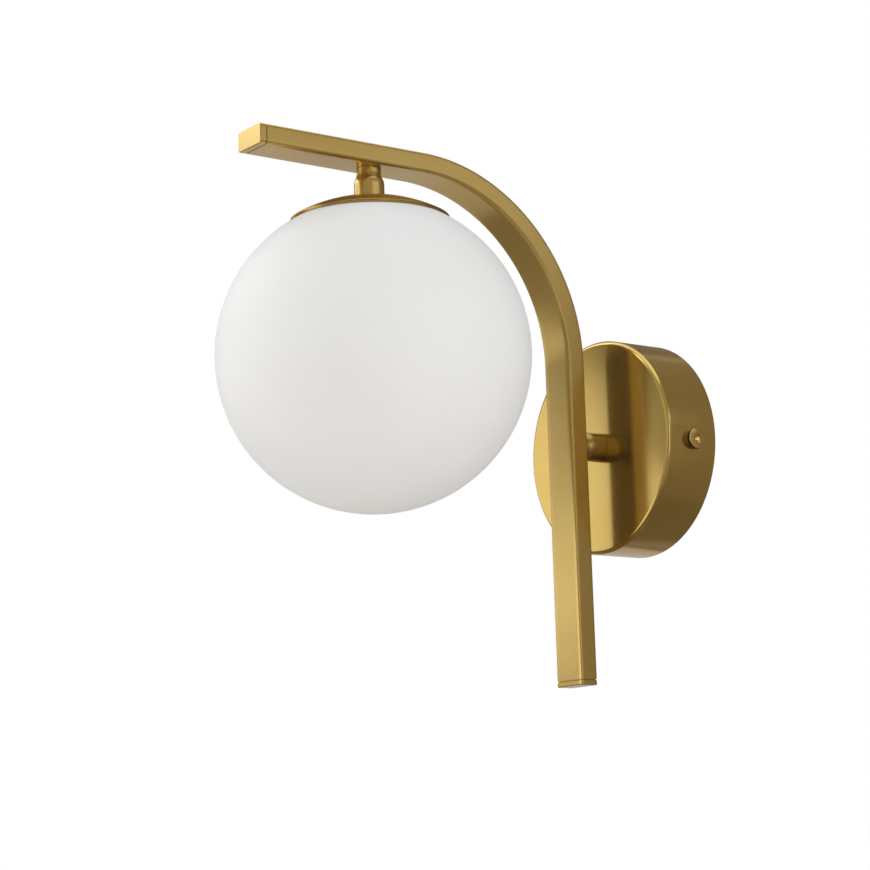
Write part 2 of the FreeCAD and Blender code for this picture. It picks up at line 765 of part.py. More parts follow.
def makeHolderContacts():
    contacts = []
    for name, side in (("contact_left", "-"), ("contact_right", "")):
        lump = block(name + "_block", "contact_size", "contact_size", "contact_height",
                     side + "pin_pitch / 2 - contact_size / 2", "-globe_reach - contact_size / 2",
                     "globe_height + contact_bottom")
        bore = cylinder(name + "_bore", "pin_radius + pin_play", "pin_top - contact_bottom + pin_play",
                        x=side + "pin_pitch / 2", y="-globe_reach", z="globe_height + contact_bottom")
        contacts.append(cut(name, lump, bore))
    group("holder_contacts", contacts)


def makeHolderScrews():
    screws = []
    for name, side, turn in (("holder_screw_left", "-", TO_LEFT), ("holder_screw_right", "", TO_RIGHT)):
        head = cylinder(name + "_head", "socket_screw_head", "socket_screw_cap", side + "strip_outer",
                        "-globe_reach", "globe_height + socket_screw_level", turn)
        shank = cylinder(name + "_shank", "socket_screw_radius", "socket_screw_length",
                         side + "(strip_outer - socket_screw_length)", "-globe_reach",
                         "globe_height + socket_screw_level", turn)
        screws.append(fuse(name, [head, shank]))
    group("holder_screws", screws)


# Two-pin capsule lamp: flat base, two pins and a round glass capsule
def makeBulb():
    body = newBody("bulb_base", GLOBE_AXIS)
    outline = newSketch(body, "XY_Plane", "lamp_shoulder")
    addRoundRectangle(outline, "lamp_base_width", "lamp_base_thick", "lamp_base_corner")
    pad(body, outline, "lamp_base_height")
    pieces.append(body)
    pins = []
    for name, side in (("bulb_pin_left", "-"), ("bulb_pin_right", "")):
        pins.append(cylinder(name, "pin_radius", "pin_length", x=side + "pin_pitch / 2",
                             y="-globe_reach", z="globe_height + lamp_top"))
    group("bulb_pins", pins)
    turned("bulb_capsule", GLOBE_AXIS, [
        ("0", "lamp_end"), ("lamp_radius", "lamp_end + lamp_radius"), ("lamp_radius", "lamp_shoulder"),
        ("0", "lamp_shoulder"),
    ], {0: ("lamp_radius", 1)})


# Terminal block: three poles side by side, screws from the front and one fixing screw between poles
def makeTerminalBlock():
    body = newBody("terminal_block", ROOM)
    outline = newSketch(body, "XY_Plane", "block_level - block_height / 2")
    addRectangle(outline, "-block_width / 2", "block_width / 2", "-block_face", "-bracket_sheet")
    pad(body, outline, "block_height")
    poles = newSketch(body, "XY_Plane", "block_level - block_height / 2")
    wells = newSketch(body, "XZ_Plane", "block_middle")
    for place in ("-pole_pitch", "0", "pole_pitch"):
        addCircle(poles, place, "-block_middle", "pole_radius + fit_play")
        for level in ("block_level - pole_screw_pitch / 2", "block_level + pole_screw_pitch / 2"):
            addCircle(wells, place, level, "pole_screw_radius + fit_play")
    pocket(body, poles, "block_height")
    pocket(body, wells, "block_thick / 2")
    fixing = newSketch(body, "XZ_Plane")
    addCircle(fixing, "block_screw_offset", "block_level", "block_screw_radius + fit_play")
    pocket(body, fixing, "block_face")
    pieces.append(body)


def makeTerminalMetal():
    tubes = []
    screws = []
    for number, place in enumerate(("-pole_pitch", "0", "pole_pitch")):
        outer = cylinder("terminal_tube_%d_outer" % number, "pole_radius", "pole_tube",
                         x=place, y="-block_middle", z="block_level - pole_tube / 2")
        bore = cylinder("terminal_tube_%d_bore" % number, "pole_bore", "pole_tube",
                        x=place, y="-block_middle", z="block_level - pole_tube / 2")
        tubes.append(cut("terminal_tube_%d" % number, outer, bore))
        for end, sign in (("low", "-"), ("high", "+")):
            length = "block_face - pole_screw_sink - block_middle - pole_radius"
            screws.append(cylinder("terminal_screw_%d_%s" % (number, end), "pole_screw_radius", length,
                                   place, "-(block_middle + pole_radius)",
                                   "block_level %s pole_screw_pitch / 2" % sign, OUT_OF_WALL))
    group("terminal_tubes", tubes)
    group("terminal_screws", screws)
    turned("block_screw", (("block_screw_offset", "0", "block_level"), OUT_OF_WALL), [
        ("0", "fit_play"), ("block_screw_radius", "fit_play"), ("block_screw_radius", "block_face"),
        ("block_screw_head", "block_face"), ("block_screw_head", "block_face + block_screw_cap"),
        ("0", "block_face + block_screw_cap"),
    ])


# Earth point: a ring tag with a crimp barrel, a washer and a pan head screw
def makeEarthPoint():
    frame = (("0", "0", "-earth_drop"), OUT_OF_WALL)
    turned("earth_screw", frame, [
        ("0", "fit_play"), ("earth_radius", "fit_play"), ("earth_radius", "earth_head_face"),
        ("earth_head", "earth_head_face"), ("earth_head", "earth_head_face + earth_head_height"),
        ("0", "earth_head_face + earth_head_height"),
    ])
    ring("earth_washer", frame, "earth_radius + thread_play", "earth_washer_radius",
         "earth_washer_face", "earth_head_face")
    flat = cylinder("earth_tag_ring", "tag_radius", "tag_sheet",
                    "0", "-bracket_sheet", "-earth_drop", OUT_OF_WALL)
    tongue = block("earth_tag_tongue", "2 * tag_barrel", "tag_sheet", "tag_reach - tag_radius",
                   "-tag_barrel", "-earth_washer_face", "-earth_drop + tag_radius - tag_lap")
    barrel = cylinder("earth_tag_barrel", "tag_barrel", "tag_barrel_length",
                      y="-tag_middle", z="-earth_drop + tag_reach - tag_barrel_length")
    solid = fuse("earth_tag_solid", [flat, tongue, barrel])
    eye = cylinder("earth_tag_eye", "earth_radius + thread_play", "tag_sheet",
                   "0", "-bracket_sheet", "-earth_drop", OUT_OF_WALL)
    crimp = cylinder("earth_tag_crimp", "pole_bore", "tag_barrel_length",
                     y="-tag_middle", z="-earth_drop + tag_reach - tag_barrel_length")
    tag = cut("earth_tag", solid, fuse("earth_tag_holes", [eye, crimp]))
    pieces.append(tag)


# Leads: straight runs joined by tangent arcs, one round section swept along the whole route
def routeWire(spots, radii):
    edges = []
    start = spots[0]
    for number in range(1, len(spots) - 1):
        corner = spots[number]
        arriving = (corner - spots[number - 1]).normalize()
        leaving = (spots[number + 1] - corner).normalize()
        turn = arriving.getAngle(leaving)
        back = radii[number - 1] * math.tan(turn / 2)
        first = corner - arriving * back
        last = corner + leaving * back
        inwards = (leaving - arriving).normalize()
        depth = radii[number - 1] * (1 / math.cos(turn / 2) - 1)
        edges.append(Part.LineSegment(start, first).toShape())
        edges.append(Part.Arc(first, corner + inwards * depth, last).toShape())
        start = last
    edges.append(Part.LineSegment(start, spots[-1]).toShape())
    return Part.Wire(edges)


def makeLead(label, points, radii):
    spots = [FreeCAD.Vector(*[measure(formula) for formula in point]) for point in points]
    wire = routeWire(spots, [measure(radius) for radius in radii])
    radius = measure("lead_radius")
    direction = spots[1] - spots[0]
    section = Part.Wire(Part.Circle(spots[0], direction, radius).toShape())
    solid = wire.makePipeShell([section], True, False)
    lead = doc.addObject("Part::Feature", label)
    lead.Label = label
    lead.Shape = solid
    pieces.append(lead)
    expected = math.pi * radius ** 2 * wire.Length
    print("%s: length %.1f, smallest arc %.1f, volume off by %.2f %%"
          % (label, wire.Length, min(measure(r) for r in radii), 100 * (solid.Volume / expected - 1)))


def makeLeads():
    mouth = "block_level - pole_tube / 2 + lead_entry"
    for label, side in (("lead_neutral", "-"), ("lead_live", "")):
        pole = side + "pole_pitch"
        lane = side + "lead_pitch / 2"
        pin = side + "pin_pitch / 2"
        down = "-(globe_reach + lead_sag)"
        points = [
            (pole, "-block_middle", mouth), (pole, "-block_middle", "lead_drop"),
            (lane, "-lead_mouth", "-lead_sag"), (lane, "-arm_middle", "-lead_sag"),
            (lane, "-arm_middle", "arm_level"), (lane, down, "arm_level"),
            (lane, down, "globe_height + nipple_low"),
            (pin, "-globe_reach", "globe_height + socket_top - fit_play"),
            (pin, "-globe_reach", "globe_height + contact_top"),
        ]
        makeLead(label, points, ["lead_bend", "lead_bend", "lead_bend", "bend_middle", "lead_bend",
                                 "lead_jog_bend", "lead_jog_bend"])
    makeLead("lead_earth", [
        ("0", "-block_middle", mouth), ("0", "-block_middle", "earth_lead_high"),
        ("0", "-tag_middle", "earth_lead_low"),
        ("0", "-tag_middle", "-earth_drop + tag_reach - lead_entry"),
    ], ["lead_bend", "lead_bend"])


makeWallBracket()
makeEarNuts()
makeCanopy()
makeSideScrew("side_screw_right", RIGHT_SCREW)
makeSideScrew("side_screw_left", LEFT_SCREW)
makeCanopyStack()
makeArmTube()
makeEndCaps()
makeGlobeStack()
makeGlobe()
makeLampBracket()
makeLampHolder()
makeHolderContacts()
makeHolderScrews()
makeBulb()
makeTerminalBlock()
makeTerminalMetal()
makeEarthPoint()
makeLeads()
doc.recompute()

# Nothing is written unless every object and every piece is sound
for thing in doc.Objects:
    if "Invalid" in thing.State or "Error" in thing.State:
        raise RuntimeError("%s is %s" % (thing.Label, thing.State))
for before, after in cuts:
    if after.Shape.Volume >= before.Shape.Volume - LEAST_CUT:
        raise RuntimeError("%s cuts nothing" % after.Label)
for piece in pieces:
    if piece.Shape.isNull() or not piece.Shape.isValid() or piece.Shape.Volume <= 0:
        raise RuntimeError("%s has no sound solid" % piece.Label)

os.makedirs("parts", exist_ok=True)
for piece in pieces:
    piece.Shape.exportStep("parts/%s.step" % piece.Label)
    box = piece.Shape.BoundBox
    print("%-18s solids %d  volume %9.1f  x %.1f %.1f  y %.1f %.1f  z %.1f %.1f"
          % (piece.Label, len(piece.Shape.Solids), piece.Shape.Volume, box.XMin, box.XMax,
             box.YMin, box.YMax, box.ZMin, box.ZMax))
print(len(pieces), "pieces written")
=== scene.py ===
import json
import math

import bmesh
import bpy
from mathutils import Matrix, Vector


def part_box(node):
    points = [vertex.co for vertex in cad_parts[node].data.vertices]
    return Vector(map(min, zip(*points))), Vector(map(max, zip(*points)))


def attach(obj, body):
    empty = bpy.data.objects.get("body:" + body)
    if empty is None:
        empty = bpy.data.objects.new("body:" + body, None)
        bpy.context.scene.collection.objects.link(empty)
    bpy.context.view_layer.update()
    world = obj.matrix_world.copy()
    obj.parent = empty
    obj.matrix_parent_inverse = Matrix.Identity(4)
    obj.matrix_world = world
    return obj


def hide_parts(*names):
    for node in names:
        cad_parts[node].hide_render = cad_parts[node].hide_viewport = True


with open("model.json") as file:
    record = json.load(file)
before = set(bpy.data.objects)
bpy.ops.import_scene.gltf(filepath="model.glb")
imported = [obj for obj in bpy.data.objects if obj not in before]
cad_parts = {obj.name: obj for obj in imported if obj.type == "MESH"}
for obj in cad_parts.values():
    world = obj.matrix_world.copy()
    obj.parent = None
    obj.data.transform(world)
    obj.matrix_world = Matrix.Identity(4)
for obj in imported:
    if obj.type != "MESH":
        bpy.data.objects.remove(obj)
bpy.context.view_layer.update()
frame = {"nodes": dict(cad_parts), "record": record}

# Globe wall sconce. Blender works in metres, and the dictionaries are in millimetres and degrees, apart
# from the scales of noise, which are per metre. The wall is the plane y = 0, with the room on its -Y side.
nodes = frame["nodes"]
mm = 0.001
touching = 1e-7        # points nearer than this, in metres, are one


class Signal:
    # An output socket. Sums with it add Math nodes to its own tree.
    def __init__(self, recipe, socket):
        self.recipe = recipe
        self.socket = socket

    def maths(self, operation, *terms):
        return self.recipe.node("ShaderNodeMath", {"operation": operation}, dict(enumerate(terms)))

    def __add__(self, other):
        return self.maths("ADD", self, other)

    __radd__ = __add__

    def __sub__(self, other):
        return self.maths("SUBTRACT", self, other)

    def __rsub__(self, other):
        return self.maths("SUBTRACT", other, self)

    def __mul__(self, other):
        return self.maths("MULTIPLY", self, other)

    __rmul__ = __mul__

    def __truediv__(self, other):
        return self.maths("DIVIDE", self, other)

    def __rtruediv__(self, other):
        return self.maths("DIVIDE", other, self)


class Recipe:
    # One node tree being built
    def __init__(self, tree):
        self.tree = tree
        tree.nodes.clear()

    def node(self, kind, settings=None, values=None, output=0):
        made = self.tree.nodes.new(kind)
        for key, setting in (settings or {}).items():
            setattr(made, key, setting)
        for key, value in (values or {}).items():
            if isinstance(value, Signal):
                self.tree.links.new(value.socket, made.inputs[key])
            else:
                made.inputs[key].default_value = value
        return Signal(self, made.outputs[output] if made.outputs else None)

    def part(self, vector, index):
        return self.node("ShaderNodeSeparateXYZ", None, {0: vector}, index)

    def place(self):
        return self.node("ShaderNodeTexCoord", output="Object")

    def blend(self, factor, first, second):
        # Sockets 6 and 7 take the two colours, and 2 gives their mixture.
        return self.node("ShaderNodeMix", {"data_type": "RGBA"}, {0: factor, 6: first, 7: second}, 2)

    def noise(self, vector, scale, detail=3.0, roughness=0.5):
        return self.node("ShaderNodeTexNoise", None, {
            "Vector": vector, "Scale": scale, "Detail": detail, "Roughness": roughness})

    def ease(self, value, low, high, bottom=0.0, top=1.0):
        return self.node("ShaderNodeMapRange", {"interpolation_type": "SMOOTHSTEP"}, {
            "Value": value, "From Min": low, "From Max": high, "To Min": bottom, "To Max": top})

    def rise(self, value, limits):
        # From 0 at the first of two places, in millimetres, to 1 at the second
        return self.ease(value, limits[0] * mm, limits[1] * mm)

    def clouds(self, vector, scale):
        # Noise drawn out so that it reaches 0 and 1
        return self.ease(self.noise(vector, scale), 0.3, 0.7)

    def bump(self, height, strength, depth):
        return self.node("ShaderNodeBump", None, {
            "Height": height, "Strength": strength, "Distance": depth * mm})


def newFinish(name):
    material = bpy.data.materials.new(name)
    material.use_nodes = True
    return material, Recipe(material.node_tree)


def withSurface(recipe, values):
    surface = recipe.node("ShaderNodeBsdfPrincipled", None, values)
    recipe.node("ShaderNodeOutputMaterial", None, {"Surface": surface})


def tone(colour, factor=1.0):
    return tuple(part * factor for part in colour) + (1.0,)


satinBrass = {
    "colour": (0.63, 0.453, 0.132),
    "worn": (0.595, 0.413, 0.113),
    "wornFrom": 0.36,
    "wornTo": 0.66,
    "edgeTone": (1.0, 1.0, 1.0),      # of what is mirrored at a glancing angle
    "roughness": 0.225,
    "roughnessSpread": 0.04,
    "haze": 0.33,                     # share of the light that the satin skin spreads wide
    "hazeRoughness": 0.6,
    "grainAcross": 2600.0,            # brush lines, across the grain and along it
    "grainAlong": 26.0,
    "grainDetail": 2.0,
    "grainSoftness": 0.6,
    "grainDepth": 0.0025,
    "patches": 21.0,
    "patchDetail": 4.0,
    "patchSoftness": 0.55,
    "patchTone": 0.75,                # the patches' share in the wear, and the brush lines have the rest
    "patchRoughness": 0.8,            # how much they change the roughness, beside the brush lines
    "speck": 900.0,
    "speckShare": 0.2,                # of the depth
    "coat": 0.48,
    "coatRoughness": 0.14,
    "coatIndex": 1.5,
}
polishedBrass = dict(
    satinBrass, colour=(0.66, 0.475, 0.145), worn=(0.61, 0.43, 0.12), roughness=0.13, roughnessSpread=0.03,
    haze=0.22, grainDepth=0.0012, coat=0.3, coatRoughness=0.06)
armBrass = dict(
    satinBrass,
    # Painted shade: dark brown on the tube's back beside the standoff, between the tube and the canopy,
    # which darkens the tube's reflection in the canopy's face
    backShade={"colour": (0.12, 0.08, 0.04), "depth": (-46.2, -45.2), "height": (68, 44), "wander": 12},
    # Painted shade: darker and browner on the side towards the globe, round the lower end of the bend
    sideShade={"tint": (0.72, 0.69, 0.6), "side": (4.2, 4.6), "from": (-90, 0), "to": (71, 57)})
canopyBrass = dict(satinBrass, roughness=0.15, roughnessSpread=0.02, haze=0.15, coat=0.2)
standoffBrass = dict(
    satinBrass, colour=(0.5, 0.35, 0.11), worn=(0.44, 0.3, 0.09), roughness=0.26, haze=0.3, coat=0.2)
couplerBrass = dict(polishedBrass, roughness=0.2, haze=0.25)
# Painted shade: the cap's brass is a darker, browner copy of the satin brass, with a warmer glancing
# reflection
shadedCapBrass = dict(
    satinBrass, colour=(0.44, 0.29, 0.088), worn=(0.39, 0.25, 0.072), edgeTone=(0.85, 0.62, 0.3), haze=0.2,
    coat=0.1)
screwBrass = dict(
    polishedBrass,
    # Painted shade: near black on the wall of each side screw's head
    headShade={"colour": (0.07, 0.05, 0.02), "radius": (4.8, 5.05), "level": (0.3, 1.1)})


def makeBrass(name, look):
    # The grain attribute holds two places across the brush lines and one along them.
    material, recipe = newFinish(name)
    grain = recipe.node("ShaderNodeAttribute", {"attribute_name": "grain"}, output="Vector")
    place = recipe.place()
    stretch = (look["grainAcross"], look["grainAcross"], look["grainAlong"])
    lines = recipe.node("ShaderNodeVectorMath", {"operation": "MULTIPLY"}, {0: grain, 1: stretch})
    drift = recipe.part(place, 0) * look["grainAlong"]
    brush = recipe.node("ShaderNodeTexNoise", {"noise_dimensions": "4D"}, {
        "Vector": lines, "W": drift, "Scale": 1.0, "Detail": look["grainDetail"],
        "Roughness": look["grainSoftness"]})
    patches = recipe.noise(place, look["patches"], look["patchDetail"], look["patchSoftness"])
    speck = recipe.noise(place, look["speck"], detail=2.0)
    shade = recipe.ease(patches * look["patchTone"] + brush * (1 - look["patchTone"]),
                        look["wornFrom"], look["wornTo"])
    colour = recipe.blend(shade, tone(look["worn"]), tone(look["colour"]))
    # Painted shade: dark brown on the tube's back where it faces the canopy
    if "backShade" in look:
        backShade = look["backShade"]
        away = recipe.node("ShaderNodeMath", {"operation": "ABSOLUTE"}, {0: recipe.part(place, 2)})
        away = away + (patches - 0.5) * (backShade["wander"] * mm)
        backShaded = recipe.rise(away, backShade["height"]) * recipe.rise(recipe.part(place, 1), backShade["depth"])
        colour = recipe.blend(backShaded, colour, tone(backShade["colour"]))
    # Painted shade: darker and browner on the arm's side towards the globe, round the bend
    if "sideShade" in look:
        sideShade = look["sideShade"]
        along = recipe.part(grain, 2)
        sideShaded = recipe.rise(recipe.part(grain, 1), sideShade["side"]) \
            * recipe.rise(along, sideShade["from"]) * recipe.rise(along, sideShade["to"])
        shadedBrown = recipe.node("ShaderNodeVectorMath", {"operation": "MULTIPLY"}, {
            0: colour, 1: sideShade["tint"]})
        colour = recipe.blend(sideShaded, colour, shadedBrown)
    # Painted shade: near black on the wall of the side screws' heads
    if "headShade" in look:
        headShade = look["headShade"]
        headShaded = recipe.rise(recipe.part(grain, 0), headShade["radius"]) \
            * recipe.rise(recipe.part(grain, 1), headShade["level"])
        colour = recipe.blend(headShaded, colour, tone(headShade["colour"]))
    uneven = (brush - 0.5) * look["roughnessSpread"] \
        + (patches - 0.5) * look["roughnessSpread"] * look["patchRoughness"]
    depth = brush * (1 - look["speckShare"]) + speck * look["speckShare"]
    normal = recipe.bump(depth, 1.0, look["grainDepth"])
    shine, haze = (recipe.node("ShaderNodeBsdfPrincipled", None, {
        "Base Color": colour, "Metallic": 1.0, "Roughness": roughness + uneven, "Coat Weight": look["coat"],
        "Coat Roughness": look["coatRoughness"], "Coat IOR": look["coatIndex"], "Normal": normal,
        "Specular Tint": tone(look["edgeTone"])})
        for roughness in (look["roughness"], look["hazeRoughness"]))
    recipe.node("ShaderNodeOutputMaterial", None, {
        "Surface": recipe.node("ShaderNodeMixShader", None, {0: look["haze"], 1: shine, 2: haze})})
    return material


opalGlass = {
    "colour": (0.935, 0.935, 0.925),
    "cloud": (0.905, 0.905, 0.895),
    "cloudScale": 14.0,
    "roughness": 0.52,
    "roughnessSpread": 0.08,
    "shine": 0.25,
    "milk": 0.25,                     # share of the light that the glass scatters inside itself
    "milkDepth": 4,
    "milkTone": (1.0, 1.0, 0.95),
    "frostScale": 2400.0,
    "frostSoftness": 0.6,
    "frostStrength": 0.6,
    "frostDepth": 0.004,
}


def makeOpal(name, look):
    material, recipe = newFinish(name)
    place = recipe.place()
    frost = recipe.noise(place, look["frostScale"], 2.0, look["frostSoftness"])
    clouds = recipe.clouds(place, look["cloudScale"])
    withSurface(recipe, {
        "Base Color": recipe.blend(clouds, tone(look["cloud"]), tone(look["colour"])),
        "Roughness": look["roughness"] + (frost - 0.5) * look["roughnessSpread"],
        "Specular IOR Level": look["shine"], "Subsurface Weight": look["milk"],
        "Subsurface Radius": look["milkTone"], "Subsurface Scale": look["milkDepth"] * mm,
        "Normal": recipe.bump(frost, look["frostStrength"], look["frostDepth"])})
    return material


zincSteel = {
    "colour": (0.60, 0.61, 0.61),
    "shade": (0.49, 0.50, 0.515),
    "spangle": 240.0,
    "haze": 60.0,
    "hazeDetail": 4.0,
    "share": 0.6,                     # of the spangle and of the haze in the shade
    "shadeFrom": 0.25,
    "shadeTo": 0.75,
    "roughness": 0.34,
    "roughnessSpread": 0.1,
    "skin": 1800.0,
    "skinStrength": 0.5,
    "skinDepth": 0.006,
}
contactMetal = dict(zincSteel, colour=(0.78, 0.64, 0.36), shade=(0.66, 0.50, 0.25), spangle=500.0,
                    roughness=0.3)


def makePlated(name, look):
    material, recipe = newFinish(name)
    place = recipe.place()
    spangle = recipe.node("ShaderNodeTexVoronoi", {"feature": "F1"}, {
        "Vector": place, "Scale": look["spangle"], "Randomness": 1.0}, "Distance")
    haze = recipe.noise(place, look["haze"], look["hazeDetail"])
    mask = recipe.ease(spangle * look["share"] + haze * look["share"], look["shadeFrom"], look["shadeTo"])
    skin = recipe.noise(place, look["skin"], detail=2.0)
    withSurface(recipe, {
        "Base Color": recipe.blend(mask, tone(look["shade"]), tone(look["colour"])), "Metallic": 1.0,
        "Roughness": look["roughness"] + (mask - 0.5) * look["roughnessSpread"],
        "Normal": recipe.bump(skin, look["skinStrength"], look["skinDepth"])})
    return material


# Glazed, moulded and rubbery stuff: one colour with slight clouds, and a fine skin
moulding = {"coat": 0.0, "coatRoughness": 0.08, "roughnessSpread": 0.1, "skinStrength": 0.5}
leadSkin = dict(moulding, cloudScale=80.0, skinScale=1500.0, skinDepth=0.01, shade=0.85, roughness=0.4)
moulded = {
    "white_ceramic": dict(moulding, colour=(0.88, 0.87, 0.83), shade=0.95, cloudScale=50.0, skinScale=300.0,
                          skinDepth=0.02, roughness=0.16, roughnessSpread=0.08, coat=0.6),
    "white_nylon": dict(moulding, colour=(0.86, 0.86, 0.83), shade=0.96, cloudScale=60.0, skinScale=2200.0,
                        skinDepth=0.02, roughness=0.46, roughnessSpread=0.12),
    "silicone": dict(moulding, colour=(0.78, 0.78, 0.75), shade=0.94, cloudScale=70.0, skinScale=1800.0,
                     skinDepth=0.01, roughness=0.6),
    "brown_lead": dict(leadSkin, colour=(0.16, 0.075, 0.04), shade=0.8),
    "blue_lead": dict(leadSkin, colour=(0.04, 0.13, 0.42)),
    "green_lead": dict(leadSkin, colour=(0.05, 0.30, 0.06), stripe=(0.75, 0.62, 0.05), stripeScale=90.0,
                       stripeFrom=0.45, stripeTo=0.55),
}


def makeMoulded(name, look):
    material, recipe = newFinish(name)
    place = recipe.place()
    skin = recipe.noise(place, look["skinScale"], detail=2.0)
    clouds = recipe.clouds(place, look["cloudScale"])
    colour = recipe.blend(clouds, tone(look["colour"], look["shade"]), tone(look["colour"]))
    if "stripe" in look:
        band = recipe.node("ShaderNodeTexWave", {"wave_type": "BANDS", "bands_direction": "DIAGONAL"}, {
            "Vector": place, "Scale": look["stripeScale"], "Distortion": 0.0})
        striped = recipe.ease(band, look["stripeFrom"], look["stripeTo"])
        colour = recipe.blend(striped, colour, tone(look["stripe"]))
    withSurface(recipe, {
        "Base Color": colour, "Roughness": look["roughness"] + (skin - 0.5) * look["roughnessSpread"],
        "Coat Weight": look["coat"], "Coat Roughness": look["coatRoughness"],
        "Normal": recipe.bump(skin, look["skinStrength"], look["skinDepth"])})
    return material


clearGlass = {
    "colour": (1.0, 1.0, 1.0),
    "shade": (0.96, 0.97, 0.97),
    "index": 1.47,
    "roughness": 0.02,
    "roughnessSpread": 0.02,
    "ripple": 160.0,
    "rippleStrength": 0.3,
    "rippleDepth": 0.1,
}


def makeClearGlass(name, look):
    material, recipe = newFinish(name)
    ripple = recipe.noise(recipe.place(), look["ripple"], detail=2.0)
    withSurface(recipe, {
        "Base Color": recipe.blend(ripple, tone(look["shade"]), tone(look["colour"])),
        "Roughness": look["roughness"] + ripple * look["roughnessSpread"], "Transmission Weight": 1.0,
        "IOR": look["index"], "Normal": recipe.bump(ripple, look["rippleStrength"], look["rippleDepth"])})
    return material


finishes = {
    "satin_brass": makeBrass("satinBrass", satinBrass),
    "arm_brass": makeBrass("armBrass", armBrass),
    "canopy_brass": makeBrass("canopyBrass", canopyBrass),
    "standoff_brass": makeBrass("standoffBrass", standoffBrass),
    "coupler_brass": makeBrass("couplerBrass", couplerBrass),
    "shaded_cap_brass": makeBrass("shadedCapBrass", shadedCapBrass),
    "screw_brass": makeBrass("screwBrass", screwBrass),
    "polished_brass": makeBrass("polishedBrass", polishedBrass),
    "opal_glass": makeOpal("opalGlass", opalGlass),
    "zinc_steel": makePlated("zincSteel", zincSteel),
    "contact_metal": makePlated("contactMetal", contactMetal),
    "clear_glass": makeClearGlass("clearGlass", clearGlass),
}
for slotName, look in moulded.items():
    finishes[slotName] = makeMoulded(slotName, look)
print("finishes:", len(finishes))


def newPiece(name, mesh):
    piece = bpy.data.objects.new(name, mesh)
    bpy.context.scene.collection.objects.link(piece)
    return piece


def fromFaces(name, points, faces):
    mesh = bpy.data.meshes.new(name)
    mesh.from_pydata([tuple(point) for point in points], [], faces)
    mesh.update()
    return newPiece(name, mesh)


def plainMesh(piece):
    # What the modifiers make becomes the piece's own mesh.
    graph = bpy.context.evaluated_depsgraph_get()
    result = bpy.data.meshes.new_from_object(
        piece.evaluated_get(graph), preserve_all_data_layers=True, depsgraph=graph)
    piece.modifiers.clear()
    rough = piece.data
    piece.data = result
    bpy.data.meshes.remove(rough)
    result.name = piece.name
    return piece


def combine(piece, others, operation):
    for other in others:
        joiner = piece.modifiers.new(operation.lower(), "BOOLEAN")
        joiner.operation = operation
        joiner.solver = "EXACT"
        joiner.object = other
    plainMesh(piece)
    for other in others:
        mesh = other.data
        bpy.data.objects.remove(other)
        bpy.data.meshes.remove(mesh)
    return piece


def smoothed(piece, angle=32):
    # Doubles and slivers go, and flat faces stay flat beside their eased edges.
    work = bmesh.new()
    work.from_mesh(piece.data)
    bmesh.ops.remove_doubles(work, verts=work.verts, dist=touching)
    bmesh.ops.dissolve_degenerate(work, edges=work.edges, dist=touching)
    work.to_mesh(piece.data)
    work.free()
    mesh = piece.data
    mesh.shade_smooth()
    mesh.set_sharp_from_angle(angle=math.radians(angle))
    weigh = piece.modifiers.new("weigh", "WEIGHTED_NORMAL")
    weigh.keep_sharp = True
    weigh.mode = "FACE_AREA"
    return plainMesh(piece)


def dressed(piece, node, body, slotName, finish=None):
    piece.data.materials.clear()
    piece.data.materials.append(finishes[finish or slotName])
    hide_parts(node)
    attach(piece, body)


def arc(middleR, middleH, radius, start, finish, steps):
    places = []
    for step in range(steps + 1):
        angle = math.radians(start + (finish - start) * step / steps)
        places.append((middleR + radius * math.cos(angle), middleH + radius * math.sin(angle)))
    return places


def eased(corners, closed=True, steps=6):
    # Corners are (across, along) or (across, along, radius), and those with a radius become arcs.
    places = []
    count = len(corners)
    for index, corner in enumerate(corners):
        here = Vector(corner[:2])
        radius = corner[2] if len(corner) > 2 else 0
        if not radius or (not closed and index in (0, count - 1)):
            places.append(tuple(here))
            continue
        back = (Vector(corners[index - 1][:2]) - here).normalized()
        ahead = (Vector(corners[(index + 1) % count][:2]) - here).normalized()
        half = back.angle(ahead) / 2
        middle = here + (back + ahead).normalized() * (radius / math.sin(half))
        first = here + back * (radius / math.tan(half)) - middle
        last = here + ahead * (radius / math.tan(half)) - middle
        sweep = first.angle_signed(last)
        for step in range(steps + 1):
            turn = -sweep * step / steps
            places.append((middle.x + first.x * math.cos(turn) - first.y * math.sin(turn),
                           middle.y + first.x * math.sin(turn) + first.y * math.cos(turn)))
    return places


class Axis:
    # A line that pieces are turned about: its start and three square directions
    def __init__(self, start, along):
        self.start = Vector(start) * mm
        self.along = Vector(along).normalized()
        side = Vector((1, 0, 0)) if abs(self.along.x) < 0.5 else Vector((0, 0, 1))
        self.side = (side - self.along * side.dot(self.along)).normalized()
        self.up = self.along.cross(self.side)

    def place(self, across, along, angle):
        out = self.side * math.cos(angle) + self.up * math.sin(angle)
        return self.start + (out * across + self.along * along) * mm

    def measure(self, point):
        step = point - self.start
        along = step.dot(self.along)
        return (step - self.along * along).length, along


def turned(name, outline, axis, sides=192):
    # The outline is (radius, level) pairs, with its inside on the left of its path.
    points, faces, rings = [], [], []
    for radius, level in outline:
        if not radius:        # on the axis all sides share one point
            rings.append([len(points)] * sides)
            points.append(axis.place(0, level, 0))
        else:
            rings.append(list(range(len(points), len(points) + sides)))
            points.extend(axis.place(radius, level, 2 * math.pi * side / sides) for side in range(sides))
    for index, ring in enumerate(rings):
        following = rings[(index + 1) % len(rings)]
        for side in range(sides):
            after = (side + 1) % sides
            face = []
            for spot in (ring[side], ring[after], following[after], following[side]):
                if spot not in face:
                    face.append(spot)
            if len(face) > 2:
                faces.append(face)
    return fromFaces(name, points, faces)


